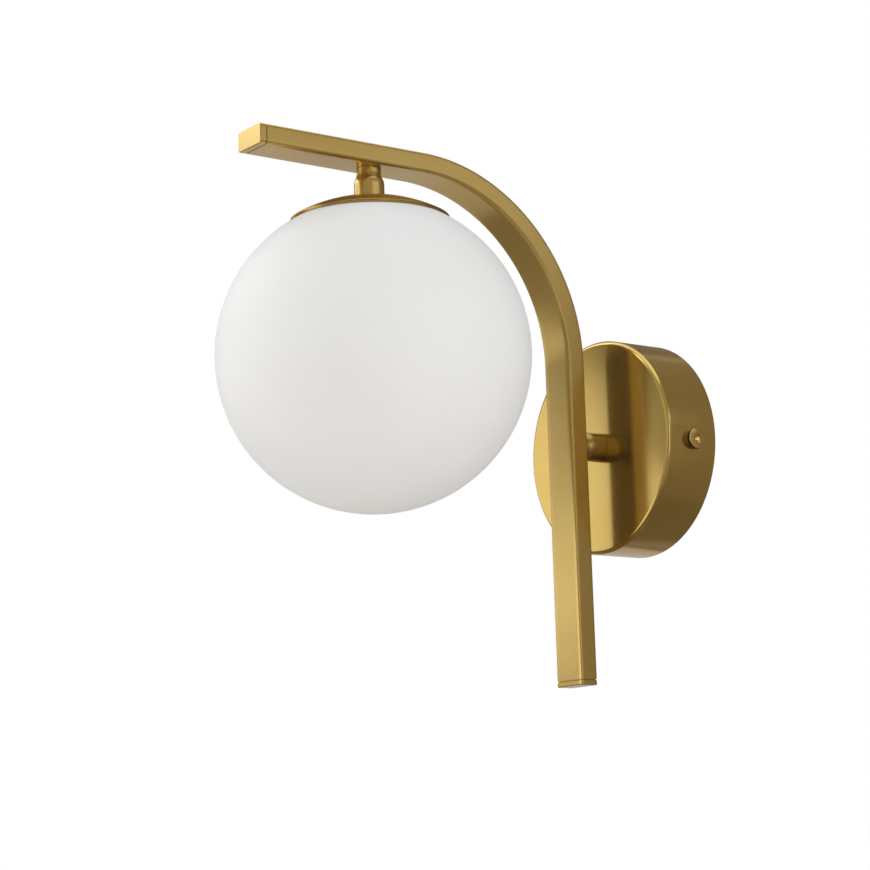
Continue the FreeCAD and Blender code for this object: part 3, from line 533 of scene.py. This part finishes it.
def softBox(wide, high, power, points=96):
    # A rectangle with soft corners and faintly crowned sides, which get flatter as the power rises
    places = []
    for index in range(points):
        angle = 2 * math.pi * index / points
        across, up = math.cos(angle), math.sin(angle)
        places.append((math.copysign(wide * abs(across) ** (2 / power), across),
                       math.copysign(high * abs(up) ** (2 / power), up)))
    return places


def lofted(name, sections, axis):
    # Soft boxes of (level, half width, half height, power), joined and closed at both ends
    points, faces = [], []
    for level, *box in sections:
        points.extend(axis.start + (axis.side * across + axis.up * up + axis.along * level) * mm
                      for across, up in softBox(*box))
    count = len(points) // len(sections)
    for row in range(len(sections) - 1):
        for spot in range(count):
            after = (spot + 1) % count
            faces.append((row * count + spot, row * count + after,
                          (row + 1) * count + after, (row + 1) * count + spot))
    faces.append(list(range(count))[::-1])
    faces.append([(len(sections) - 1) * count + spot for spot in range(count)])
    return fromFaces(name, points, faces)


def addGrain(piece, measure):
    # Where each point lies across and along the brush lines
    layer = piece.data.attributes.new("grain", "FLOAT_VECTOR", "POINT")
    for vertex in piece.data.vertices:
        layer.data[vertex.index].vector = measure(vertex.co)
    return piece


def turnedGrain(piece, axis):
    return addGrain(piece, lambda point: axis.measure(point) + (0.0,))


class Shaping(Recipe):
    # A geometry tree with named inputs
    def __init__(self, name):
        group = bpy.data.node_groups.new(name, "GeometryNodeTree")
        super().__init__(group)
        group.interface.new_socket("Geometry", in_out="INPUT", socket_type="NodeSocketGeometry")
        self.start = group.nodes.new("NodeGroupInput")
        self.sizes = {}

    def size(self, name, kind="NodeSocketFloat"):
        item = self.tree.interface.new_socket(name, in_out="INPUT", socket_type=kind)
        self.sizes[name] = item.identifier
        return Signal(self, self.start.outputs[name])

    def base(self):
        return Signal(self, self.start.outputs["Geometry"])

    def finish(self, geometry, material):
        self.tree.interface.new_socket("Result", in_out="OUTPUT", socket_type="NodeSocketGeometry")
        real = self.node("GeometryNodeRealizeInstances", None, {0: geometry})
        painted = self.node("GeometryNodeSetMaterial", None, {"Geometry": real, "Material": material})
        self.node("NodeGroupOutput", None, {"Result": painted})

    def shape(self, piece, values):
        modifier = piece.modifiers.new(self.tree.name, "NODES")
        modifier.node_group = self.tree
        for name, value in values.items():
            modifier[self.sizes[name]] = value
        plainMesh(piece)


globe = {
    "reach": 166,
    "height": 33.019,
    "radius": 75,
    "wall": 3,
    "groundRim": 26.4,
    "rimEase": 0.3,
    "mouth": 21,
    "collarWall": 3,
    "collarDepth": 8.2,
    "collarEase": 0.6,
    "arcSteps": 96,
}
globeAxis = Axis((0, -globe["reach"], globe["height"]), (0, 0, 1))


def makeGlobe():
    radius, inner = globe["radius"], globe["radius"] - globe["wall"]
    rim, mouth = globe["groundRim"], globe["mouth"]
    level = math.sqrt(radius ** 2 - rim ** 2)
    bottom = level - globe["collarDepth"]
    collar = mouth + globe["collarWall"]
    meet = math.sqrt(inner ** 2 - collar ** 2)
    outline = arc(0, 0, radius, -90, math.degrees(math.atan2(level, rim)), globe["arcSteps"])
    outline[0] = (0, -radius)
    ease, soft = globe["rimEase"], globe["collarEase"]
    near = outline[-2]
    outline = outline[:-1] + eased([near, (rim, level, ease), (mouth, level, ease), (mouth, bottom, soft),
                                    (collar, bottom, soft), (collar, meet)], closed=False)[1:]
    inside = arc(0, 0, inner, math.degrees(math.atan2(meet, collar)), -90, globe["arcSteps"])
    inside[-1] = (0, -inner)
    piece = smoothed(turned("glassGlobe", outline + inside[1:], globeAxis))
    dressed(turnedGrain(piece, globeAxis), "glass_globe", "globe", "opal_glass")


cap = {
    "gap": 0.6,
    "wall": 1.0,
    "rim": 38.7,
    "rimEase": 0.6,
    "seat": 8,
    "seatEase": 0.5,
    "bore": 5.1,
    "lipGap": 0.15,                   # the rim is folded in to this near the glass
    "lipWide": 1.0,
    "lipEase": 0.1,
    "lipEdge": 0.15,
    "underSteps": 40,
    "overSteps": 44,
}


def makeGlobeCap():
    inner = globe["radius"] + cap["gap"]
    outer = inner + cap["wall"]
    top = math.sqrt(outer ** 2 - cap["seat"] ** 2)
    flat = top - cap["wall"]
    flatRadius = math.sqrt(inner ** 2 - flat ** 2)
    lip = globe["radius"] + cap["lipGap"]
    rimTurn = math.acos(cap["rim"] / outer)
    lipTurn = rimTurn + cap["lipWide"] / lip
    under = arc(0, 0, inner, math.degrees(math.atan2(flat, flatRadius)), math.degrees(lipTurn),
                cap["underSteps"])
    over = arc(0, 0, outer, math.degrees(rimTurn), math.degrees(math.atan2(top, cap["seat"])),
               cap["overSteps"])
    rim = eased([under[-2], under[-1] + (cap["lipEase"],),
                 (lip * math.cos(lipTurn), lip * math.sin(lipTurn), cap["lipEase"]),
                 (lip * math.cos(rimTurn), lip * math.sin(rimTurn), cap["lipEdge"]),
                 over[0] + (cap["rimEase"],), over[1]], closed=False)
    seat = eased([over[-2], (cap["seat"], top, cap["seatEase"]), (cap["bore"], top)], closed=False)
    outline = [(cap["bore"], flat)] + under[:-1] + rim[1:-1] + over[1:-1] + seat[1:]
    piece = smoothed(turned("globeCap", outline, globeAxis))
    dressed(turnedGrain(piece, globeAxis), "globe_cap", "fixture", "satin_brass", "shaded_cap_brass")


canopy = {
    "radius": 54,
    "depth": 30.5,
    "wall": 1.2,
    "edge": 2.0,
    "edgeSteps": 10,
    "backEdge": 0.25,
    "bore": 5.1,
    "sides": 256,
    "screwDepth": 14.5,
    "screwDrop": 3.4,
    "screwHole": 2.9,
    "drillReach": 80,
    "drillSides": 40,
}
canopyAxis = Axis((0, 0, 0), (0, -1, 0))


def makeCanopy():
    radius, depth, wall = canopy["radius"], canopy["depth"], canopy["wall"]
    back, inside = canopy["backEdge"], canopy["edge"] - canopy["wall"]
    outline = eased([
        (canopy["bore"], depth - wall), (radius - wall, depth - wall, inside), (radius - wall, 0, back),
        (radius, 0, back), (radius, depth, canopy["edge"]), (canopy["bore"], depth)],
        steps=canopy["edgeSteps"])
    piece = turned("canopy", outline, canopyAxis, canopy["sides"])
    hole, reach = canopy["screwHole"], canopy["drillReach"]
    drill = turned("drill", [(0, -reach), (hole, -reach), (hole, reach), (0, reach)],
                   Axis((0, -canopy["screwDepth"], -canopy["screwDrop"]), (1, 0, 0)), canopy["drillSides"])
    smoothed(combine(piece, [drill], "DIFFERENCE"))
    dressed(turnedGrain(piece, canopyAxis), "canopy", "fixture", "satin_brass", "canopy_brass")


arm = {
    "width": 20,
    "thickness": 10,
    "wall": 1.2,
    "power": 11.0,                    # how square the section is, outside and inside
    "innerPower": 14.0,
    "middleDepth": 50,                # from the wall to the middle of the upright part
    "foot": -117.5,
    "level": 130,                     # the middle of the part that reaches out
    "tip": 229.2,                     # from the wall
    "bend": 90,
    "bendSteps": 96,
    "overrun": 10,                    # of the hollow past both ends
    "holeRadius": 6.3,                # for the bushes behind and below
    "holeDepth": 1.2,                 # the drill's length and how far it sinks, in thicknesses
    "holeSink": 0.6,
    "rearHole": 44,                   # from the wall to the rear drill's middle
    "globeReach": globe["reach"],
}


def armTree():
    tree = Shaping("bentTube")
    width, thickness = tree.size("Width"), tree.size("Thickness")
    power, innerPower = tree.size("Power"), tree.size("Inner Power")
    wall, bend = tree.size("Wall"), tree.size("Bend Radius")
    steps = tree.size("Bend Steps", "NodeSocketInt")
    level, overrun = tree.size("Arm Level"), tree.size("Overrun")
    hole, holeDepth, holeSink = tree.size("Hole Radius"), tree.size("Hole Depth"), tree.size("Hole Sink")
    rear, reach = tree.size("Rear Hole"), tree.size("Globe Reach")
    straight = tree.node("GeometryNodeMeshToCurve", None, {"Mesh": tree.base()})
    path = tree.node("GeometryNodeFilletCurve", {"mode": "POLY"}, {
        "Curve": straight, "Count": steps, "Radius": bend, "Limit Radius": False})

    def section(wide, high, square):
        # A circle pushed out to a soft box
        ring = tree.node("GeometryNodeCurvePrimitiveCircle", {"mode": "RADIUS"}, {
            "Resolution": 96, "Radius": 1.0})
        spot = tree.node("GeometryNodeInputPosition")
        parts = []
        for index, full in enumerate((wide, high)):
            part = tree.part(spot, index)
            size = tree.node("ShaderNodeMath", {"operation": "ABSOLUTE"}, {0: part})
            sign = tree.node("ShaderNodeMath", {"operation": "SIGN"}, {0: part})
            pushed = tree.node("ShaderNodeMath", {"operation": "POWER"}, {0: size, 1: 2.0 / square})
            parts.append(sign * pushed * full * 0.5)
        place = tree.node("ShaderNodeCombineXYZ", None, dict(enumerate(parts)))
        return tree.node("GeometryNodeSetPosition", None, {"Geometry": ring, "Position": place})

    tube = tree.node("GeometryNodeCurveToMesh", None, {
        "Curve": path, "Profile Curve": section(width, thickness, power), "Fill Caps": True})
    tangent = tree.node("GeometryNodeInputTangent")
    longer = path
    for start, end, sign in ((1, 0, -1.0), (0, 1, 1.0)):
        which = tree.node("GeometryNodeCurveEndpointSelection", None, {
            "Start Size": start, "End Size": end})
        shift = tree.node("ShaderNodeVectorMath", {"operation": "SCALE"}, {
            0: tangent, "Scale": overrun * sign})
        longer = tree.node("GeometryNodeSetPosition", None, {
            "Geometry": longer, "Selection": which, "Offset": shift})
    hollow = tree.node("GeometryNodeCurveToMesh", None, {
        "Curve": longer, "Fill Caps": True,
        "Profile Curve": section(width - wall * 2.0, thickness - wall * 2.0, innerPower)})
    drill = tree.node("GeometryNodeMeshCylinder", None, {
        "Vertices": 64, "Radius": hole, "Depth": thickness * holeDepth})
    rearPlace = tree.node("ShaderNodeCombineXYZ", None, {1: rear * -1.0})
    behind = tree.node("GeometryNodeTransform", None, {
        "Geometry": drill, "Translation": rearPlace, "Rotation": (math.pi / 2, 0, 0)})
    underPlace = tree.node("ShaderNodeCombineXYZ", None, {1: reach * -1.0, 2: level - thickness * holeSink})
    below = tree.node("GeometryNodeTransform", None, {"Geometry": drill, "Translation": underPlace})
    for tool in (hollow, behind, below):
        tube = tree.node("GeometryNodeMeshBoolean", {"operation": "DIFFERENCE", "solver": "EXACT"}, {
            0: tube, 1: tool})
    tree.finish(tube, finishes["arm_brass"])
    return tree


def armPlace(point):
    # Across the width, across the thickness, and along the tube
    bend, middle, level = arm["bend"] * mm, arm["middleDepth"] * mm, arm["level"] * mm
    turnY, turnZ = -(middle + bend), level - bend
    if point.z <= turnZ:
        return point.x, -point.y - middle, point.z
    if point.y <= turnY:
        return point.x, level - point.z, turnZ + bend * math.pi / 2 + (turnY - point.y)
    out = math.hypot(point.y - turnY, point.z - turnZ)
    return point.x, bend - out, turnZ + bend * math.atan2(point.z - turnZ, point.y - turnY)


def makeArm():
    mesh = bpy.data.meshes.new("armTube")
    spots = [(0, -arm["middleDepth"], arm["foot"]), (0, -arm["middleDepth"], arm["level"]),
             (0, -arm["tip"], arm["level"])]
    mesh.from_pydata([tuple(value * mm for value in spot) for spot in spots], [(0, 1), (1, 2)], [])
    piece = newPiece("armTube", mesh)
    armTree().shape(piece, {
        "Width": arm["width"] * mm, "Thickness": arm["thickness"] * mm, "Power": arm["power"],
        "Inner Power": arm["innerPower"], "Wall": arm["wall"] * mm, "Bend Radius": arm["bend"] * mm,
        "Bend Steps": arm["bendSteps"], "Arm Level": arm["level"] * mm, "Overrun": arm["overrun"] * mm,
        "Hole Radius": arm["holeRadius"] * mm, "Hole Depth": arm["holeDepth"], "Hole Sink": arm["holeSink"],
        "Rear Hole": arm["rearHole"] * mm, "Globe Reach": arm["globeReach"] * mm})
    smoothed(piece)
    dressed(addGrain(piece, armPlace), "arm_tube", "fixture", "satin_brass", "arm_brass")


endCap = {
    "tipLength": 3.8,
    "footLength": 3.0,
    "edge": 0.5,
    "edgeSteps": 6,
    "plug": 9,
    "plugPlay": 0.15,
    "plugEdge": 0.3,
    "seam": 0.45,
    "seamWidth": 0.7,
    "sharp": 40,                      # edges steeper than this stay sharp
}


def makeEndCap(name, node, axis, length):
    wide, high, power, inner = arm["width"] / 2, arm["thickness"] / 2, arm["power"], arm["innerPower"]
    slimWide = wide - arm["wall"] - endCap["plugPlay"]
    slimHigh = high - arm["wall"] - endCap["plugPlay"]
    seam, edge, plugEdge = endCap["seam"], endCap["edge"], endCap["plugEdge"]
    sections = [(-endCap["plug"], slimWide - plugEdge, slimHigh - plugEdge, inner),
                (-endCap["plug"] + plugEdge, slimWide, slimHigh, inner), (0, slimWide, slimHigh, inner),
                (0, wide - seam, high - seam, power),
                (endCap["seamWidth"] * 0.5, wide - seam, high - seam, power),
                (endCap["seamWidth"], wide, high, power)]
    for across, level in arc(0, 0, edge, 0, 90, endCap["edgeSteps"]):
        sections.append((length - edge + level, wide - edge + across, high - edge + across, power))
    piece = smoothed(lofted(name, sections, axis), endCap["sharp"])
    dressed(addGrain(piece, armPlace), node, "fixture", "satin_brass")


# Two turned pieces of one kind: a drum at the wide end and a thinner neck at the narrow end
necked = {"drum": 7.3, "drumEase": 0.35, "neck": 5.9, "neckEase": 0.15, "neckSteps": 3, "bore": 5.1,
          "shoulderSteps": 14, "sides": 128}
coupler = {"wide": math.sqrt((globe["radius"] + cap["gap"] + cap["wall"]) ** 2 - cap["seat"] ** 2),
           "narrow": arm["level"] - arm["thickness"] / 2 - globe["height"], "neck": 2.4, "shoulder": 5.8}
standoff = {"wide": canopy["depth"], "narrow": arm["middleDepth"] - arm["thickness"] / 2, "neck": 2.5,
            "shoulder": 4.5}


def makeNecked(name, sizes, axis, node, finish):
    rise = (necked["drum"] - necked["neck"]) / 2
    half = sizes["shoulder"] / 2
    radius = (rise ** 2 + half ** 2) / (2 * rise)
    turn = math.degrees(math.asin(half / radius))
    neckEnd = sizes["narrow"] - sizes["neck"]
    drumEnd = neckEnd - sizes["shoulder"]
    shoulder = arc(necked["drum"] - radius, drumEnd, radius, 0, turn, necked["shoulderSteps"])
    shoulder += arc(necked["neck"] + radius, neckEnd, radius, 180 + turn, 180, necked["shoulderSteps"])[1:]
    foot = eased([(necked["bore"], sizes["wide"]), (necked["drum"], sizes["wide"], necked["drumEase"]),
                  shoulder[0]], closed=False)
    top = eased([shoulder[-1], (necked["neck"], sizes["narrow"], necked["neckEase"]),
                 (necked["bore"], sizes["narrow"])], closed=False, steps=necked["neckSteps"])
    piece = smoothed(turned(name, foot[:-1] + shoulder[:-1] + top, axis, necked["sides"]))
    dressed(turnedGrain(piece, axis), node, "fixture", "polished_brass", finish)


sideScrew = {
    "seat": 54.2,
    "head": 5.1,
    "headEase": 0.15,
    "headWall": 2.6,
    "headRound": 0.8,
    "headHeight": 2.8,
    "headSteps": 10,
    "headSides": 96,
    "crown": 0.55,                    # where the crown gets flatter, as a share of the head's radius
    "crownDrop": 0.05,
    "crownRound": 5.0,
    "socket": 2.4,
    "socketDepth": 1.1,
    "socketPoint": 1.2,
    "socketOver": 1,
    "funnel": 0.86,                   # of the socket's radius
    "funnelWide": 0.7,
    "funnelHalf": 0.35,
    "funnelSides": 48,
    "shank": 2.5,
    "root": 2.1,
    "pitch": 0.8,
    "threadSides": 32,
    "threadRings": 6,                 # for each turn of the thread
    "sunk": 0.3,                      # how far the shank goes into the head
    "sharp": 28,
}


def threadTree():
    # A closed rod whose surface is drawn in along a helix
    tree = Shaping("threadedRod")
    radius, root = tree.size("Radius"), tree.size("Root")
    pitch, length = tree.size("Pitch"), tree.size("Length")
    sides, rings = tree.size("Sides", "NodeSocketInt"), tree.size("Rings", "NodeSocketInt")
    rod = tree.node("GeometryNodeMeshCylinder", {"fill_type": "NGON"}, {
        "Vertices": sides, "Side Segments": rings, "Radius": radius, "Depth": length})
    place = tree.node("GeometryNodeInputPosition")
    x, y, z = (tree.part(place, part) for part in range(3))
    turn = tree.node("ShaderNodeMath", {"operation": "ARCTAN2"}, {0: y, 1: x})
    wave = tree.node("ShaderNodeMath", {"operation": "PINGPONG"}, {
        0: z / pitch + turn * (0.5 / math.pi), 1: 0.5})
    inset = (radius - root) * (wave * 2.0) / radius
    flat = tree.node("ShaderNodeVectorMath", {"operation": "MULTIPLY"}, {0: place, 1: (1.0, 1.0, 0.0)})
    shift = tree.node("ShaderNodeVectorMath", {"operation": "SCALE"}, {0: flat, "Scale": inset * -1.0})
    cutRod = tree.node("GeometryNodeSetPosition", None, {"Geometry": rod, "Offset": shift})
    tree.finish(cutRod, finishes["screw_brass"])
    return tree


def makeSideScrew(name, node, body, side, thread):
    axis = Axis((side * sideScrew["seat"], -canopy["screwDepth"], -canopy["screwDrop"]), (side, 0, 0))
    head, height = sideScrew["head"], sideScrew["headHeight"]
    outline = eased([(0, 0), (head, 0, sideScrew["headEase"]),
                     (head, sideScrew["headWall"], sideScrew["headRound"]),
                     (head * sideScrew["crown"], height - sideScrew["crownDrop"], sideScrew["crownRound"]),
                     (0, height)], closed=False, steps=sideScrew["headSteps"])
    piece = turned(name, outline, axis, sideScrew["headSides"])

    # The socket's tool: its point, six corners at its floor and six above the head
    floorLevel = height - sideScrew["socketDepth"]
    points = [axis.place(0, floorLevel - sideScrew["socketPoint"], 0)]
    for level in (floorLevel, height + sideScrew["socketOver"]):
        for corner in range(6):
            points.append(axis.place(sideScrew["socket"], level, math.radians(60 * corner)))
    faces = [(7, 8, 9, 10, 11, 12)]
    for spot in range(6):
        after = (spot + 1) % 6
        faces += [(1 + spot, 1 + after, 7 + after, 7 + spot), (0, 1 + after, 1 + spot)]
    key = fromFaces("key", points, faces)
    narrow, half = sideScrew["socket"] * sideScrew["funnel"], sideScrew["funnelHalf"]
    funnel = turned("funnel", [(0, height - half), (narrow, height - half),
                               (narrow + sideScrew["funnelWide"], height + half), (0, height + half)],
                    axis, sideScrew["funnelSides"])

    low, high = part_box(node)
    reach = sideScrew["seat"] - min(abs(low.x), abs(high.x)) / mm
    length = reach + sideScrew["sunk"]
    shank = newPiece("shank", bpy.data.meshes.new("shank"))
    thread.shape(shank, {"Radius": sideScrew["shank"] * mm, "Root": sideScrew["root"] * mm,
                         "Pitch": sideScrew["pitch"] * mm, "Length": length * mm,
                         "Sides": sideScrew["threadSides"],
                         "Rings": round(length / sideScrew["pitch"] * sideScrew["threadRings"])})
    turn = Matrix((axis.side, axis.up, axis.along)).transposed().to_4x4()
    shank.data.transform(Matrix.Translation(axis.place(0, (sideScrew["sunk"] - reach) / 2, 0)) @ turn)
    combine(piece, [key, funnel], "DIFFERENCE")
    combine(piece, [shank], "UNION")
    smoothed(piece, sideScrew["sharp"])
    dressed(turnedGrain(piece, axis), node, body, "polished_brass", "screw_brass")


makeGlobe()
makeGlobeCap()
makeNecked("globeCoupler", coupler, globeAxis, "globe_coupler", "coupler_brass")
makeNecked("standoff", standoff, canopyAxis, "standoff", "standoff_brass")
makeCanopy()
makeArm()
makeEndCap("armTipCap", "arm_tip_cap", Axis((0, -arm["tip"], arm["level"]), (0, -1, 0)),
           endCap["tipLength"])
makeEndCap("armFootCap", "arm_foot_cap", Axis((0, -arm["middleDepth"], arm["foot"]), (0, 0, -1)),
           endCap["footLength"])
thread = threadTree()
makeSideScrew("sideScrewRight", "side_screw_right", "right_screw", 1, thread)
makeSideScrew("sideScrewLeft", "side_screw_left", "left_screw", -1, thread)
print("visible pieces made")

for subpart in frame["record"]["subparts"]:
    keptNode = nodes[subpart["node"]]
    keptNode.data.materials.clear()
    keptNode.data.materials.append(finishes[subpart["material_slot"]])
print("carried-over pieces dressed")


view = {"place": (920.42, -799.355, -214.725), "azimuth": 54.034, "elevation": -10.591, "roll": -1.741,
        "lens": 99.936, "sensor": 36.0, "near": 50, "far": 50000}


def makeCamera():
    camera = bpy.data.cameras.new("photoCamera")
    camera.lens, camera.sensor_width = view["lens"], view["sensor"]
    camera.clip_start, camera.clip_end = view["near"] * mm, view["far"] * mm
    holder = bpy.data.objects.new("photoCamera", camera)
    bpy.context.scene.collection.objects.link(holder)
    turn = Matrix.Rotation(math.radians(view["azimuth"]), 4, "Z")
    tilt = Matrix.Rotation(math.radians(90 - view["elevation"]), 4, "X")
    roll = Matrix.Rotation(math.radians(view["roll"]), 4, "Z")
    holder.matrix_world = Matrix.Translation(Vector(view["place"]) * mm) @ turn @ tilt @ roll
    bpy.context.scene.camera = holder


# A dome that only shiny things see. Its cards are placed from the camera's direction: turn (right is +),
# height, level, and how soft the edge is. A later card covers the earlier ones, and dark parts are warm.
tent = {"middle": (0, -100, 30), "radius": 1000, "rounding": 5, "warm": (1.0, 0.84, 0.76),
        "warmLevel": 0.15, "whiteLevel": 0.8}
studioCards = [
    {"turn": (-180, 180), "height": (-90, 90), "level": 0.33, "soft": 1},
    {"turn": (-198.7, -96.2), "height": (-95, 95), "level": 0.22, "soft": 1.5},
    {"turn": (-157.6, -57.2), "height": (-2.3, 11.3), "level": 0.49, "soft": 1.5},
    {"turn": (-100.1, -42.8), "height": (-28.4, 16.2), "level": 1.60, "soft": 1.5},
    {"turn": (-161.4, -71.9), "height": (20.4, 73.6), "level": 2.25, "soft": 1.5},
    {"turn": (-134, -106.2), "height": (-3.9, 13.1), "level": 1.34, "soft": 1.2},
    {"turn": (-104.7, -100), "height": (0, 8.3), "level": 1.30, "soft": 1.2},
    {"turn": (-106.2, -95), "height": (9.2, 18), "level": 0.06, "soft": 1.5},
    {"turn": (24.2, 84.3), "height": (16.2, 24.3), "level": 1.02, "soft": 5.9},
    {"turn": (13, 25), "height": (-14.5, 15), "level": 1.80, "soft": 1.5},
    {"turn": (78.9, 140.1), "height": (-60, 75), "level": 0.23, "soft": 1.5},
    {"turn": (-72, 3), "height": (-60, 70), "level": 0.39, "soft": 4},
    {"turn": (164.2, 213.5), "height": (-55.4, 6), "level": 0.58, "soft": 1.5},
    {"turn": (150, 225), "height": (8, 72), "level": 0.16, "soft": 2.5},
    {"turn": (-200, 200), "height": (-77.4, -40.5), "level": 0.19, "soft": 1.5},
    {"turn": (-200, 200), "height": (54.1, 91.2), "level": 1.20, "soft": 1.5},
]


def makeTent():
    mesh = bpy.data.meshes.new("studioTent")
    work = bmesh.new()
    bmesh.ops.create_icosphere(work, subdivisions=tent["rounding"], radius=tent["radius"] * mm)
    work.to_mesh(mesh)
    work.free()
    dome = newPiece("studioTent", mesh)
    dome.location = Vector(tent["middle"]) * mm
    material, recipe = newFinish("studioTent")
    aim = recipe.node("ShaderNodeMapping", {"vector_type": "POINT"}, {
        "Vector": recipe.place(), "Rotation": (0, 0, math.radians(90 - view["azimuth"]))})
    unit = recipe.node("ShaderNodeVectorMath", {"operation": "NORMALIZE"}, {0: aim})
    x, y, z = (recipe.part(unit, part) for part in range(3))
    turn = recipe.node("ShaderNodeMath", {"operation": "ARCTAN2"}, {0: y, 1: x}) * math.degrees(1)
    height = recipe.node("ShaderNodeMath", {"operation": "ARCSINE"}, {0: z}) * math.degrees(1)
    level = 0.0
    for card in studioCards:
        edge = card["soft"]
        mask = 1.0
        for signal, (low, high), most in ((turn, card["turn"], 180), (height, card["height"], 90)):
            if high - low >= 2 * most:        # the card goes all the way round
                continue
            middle, half = (low + high) / 2, (high - low) / 2
            off = signal - middle
            if signal is turn:
                off = recipe.node("ShaderNodeMath", {"operation": "WRAP"}, {0: off, 1: 180.0, 2: -180.0})
            off = recipe.node("ShaderNodeMath", {"operation": "ABSOLUTE"}, {0: off})
            mask = recipe.ease(off, half + edge, half - edge) * mask
        level = level + mask * (card["level"] - level)
    warmth = recipe.blend(recipe.ease(level, tent["warmLevel"], tent["whiteLevel"]),
                          tone(tent["warm"]), tone((1, 1, 1)))
    glow = recipe.node("ShaderNodeEmission", None, {"Color": warmth, "Strength": level})
    recipe.node("ShaderNodeOutputMaterial", None, {"Surface": glow})
    material.cycles.emission_sampling = "NONE"
    mesh.materials.append(material)
    dome.visible_camera = False
    dome.visible_diffuse = False
    dome.visible_transmission = False
    dome.visible_shadow = False
    dome.visible_volume_scatter = False


# The level overhead and below, and the share of it that is left on the wall's side
daylight = {"level": 0.89, "lower": 0.95, "soft": 0.6, "wallSide": 0.08, "wallAim": (-0.3, 0.95, 0),
            "wallFrom": -0.25, "wallTo": 0.8}


def makeWorld():
    world = bpy.data.worlds.new("whiteStudio")
    bpy.context.scene.world = world
    world.use_nodes = True
    recipe = Recipe(world.node_tree)
    rays = [recipe.node("ShaderNodeLightPath", output=ray)
            for ray in ("Is Camera Ray", "Is Glossy Ray", "Is Transmission Ray")]
    seen = rays[0] + rays[1] + rays[2]
    shown = recipe.node("ShaderNodeMath", {"operation": "MINIMUM"}, {0: seen, 1: 1.0})
    aim = recipe.node("ShaderNodeTexCoord", output="Generated")
    toWall = recipe.node("ShaderNodeVectorMath", {"operation": "DOT_PRODUCT"}, {
        0: aim, 1: daylight["wallAim"]}, "Value")
    soft = daylight["soft"]
    sky = recipe.ease(recipe.part(aim, 2), -soft, soft, daylight["lower"], daylight["level"]) \
        * recipe.ease(toWall, daylight["wallFrom"], daylight["wallTo"], 1.0, daylight["wallSide"])
    strength = sky * (1.0 - shown) + shown
    back = recipe.node("ShaderNodeBackground", None, {"Color": (1, 1, 1, 1), "Strength": strength})
    recipe.node("ShaderNodeOutputWorld", None, {"Surface": back})


# Soft panels that light only what isn't shiny, placed from the camera's direction as the cards are
highPanel = {"distance": 1500, "width": 800, "tall": 1000}
lowPanel = {"distance": 1250, "width": 1000, "tall": 800}
panels = {
    "keyPanel": dict(highPanel, turn=-104, height=24, radiance=0.8),
    "fillPanel": dict(highPanel, turn=82, height=8, radiance=2.1),
    "lowLeftPanel": dict(lowPanel, turn=-75, height=-38, radiance=0.9),
    "lowRightPanel": dict(lowPanel, turn=62, height=-38, radiance=0.9),
}


def makePanel(name, panel):
    lamp = bpy.data.lights.new(name, "AREA")
    lamp.shape = "RECTANGLE"
    lamp.size, lamp.size_y = panel["width"] * mm, panel["tall"] * mm
    lamp.energy = panel["radiance"] * math.pi * lamp.size * lamp.size_y        # as bright at any size
    holder = bpy.data.objects.new(name, lamp)
    bpy.context.scene.collection.objects.link(holder)
    turn = math.radians(view["azimuth"] - 90 + panel["turn"])
    height = math.radians(panel["height"])
    out = Vector((math.cos(turn) * math.cos(height), math.sin(turn) * math.cos(height), math.sin(height)))
    holder.location = Vector(tent["middle"]) * mm + out * panel["distance"] * mm
    holder.rotation_euler = out.to_track_quat("Z", "Y").to_euler()
    holder.visible_camera = False
    holder.visible_glossy = False


floor = {"level": -1000, "size": 6000, "front": 2200, "colour": (0.83, 0.8, 0.75), "shade": 0.985,
         "cloudScale": 3.0, "cloudDetail": 2.0, "roughness": 0.8}


def makeFloor():
    half = floor["size"] * mm / 2
    level = floor["level"] * mm
    near, far = -floor["front"] * mm - half, half - floor["front"] * mm
    plane = fromFaces("floor", [(-half, near, level), (half, near, level), (half, far, level),
                                (-half, far, level)], [(0, 1, 2, 3)])
    material, recipe = newFinish("floorPaint")
    cloud = recipe.noise(recipe.place(), floor["cloudScale"], floor["cloudDetail"])
    colour = recipe.blend(cloud, tone(floor["colour"], floor["shade"]), tone(floor["colour"]))
    withSurface(recipe, {"Base Color": colour, "Roughness": floor["roughness"]})
    plane.data.materials.append(material)
    plane.visible_glossy = False


makeTent()
makeWorld()
for panelName, panel in panels.items():
    makePanel(panelName, panel)
makeFloor()
makeCamera()
bpy.context.scene.view_settings.view_transform = "Standard"
print("studio ready")
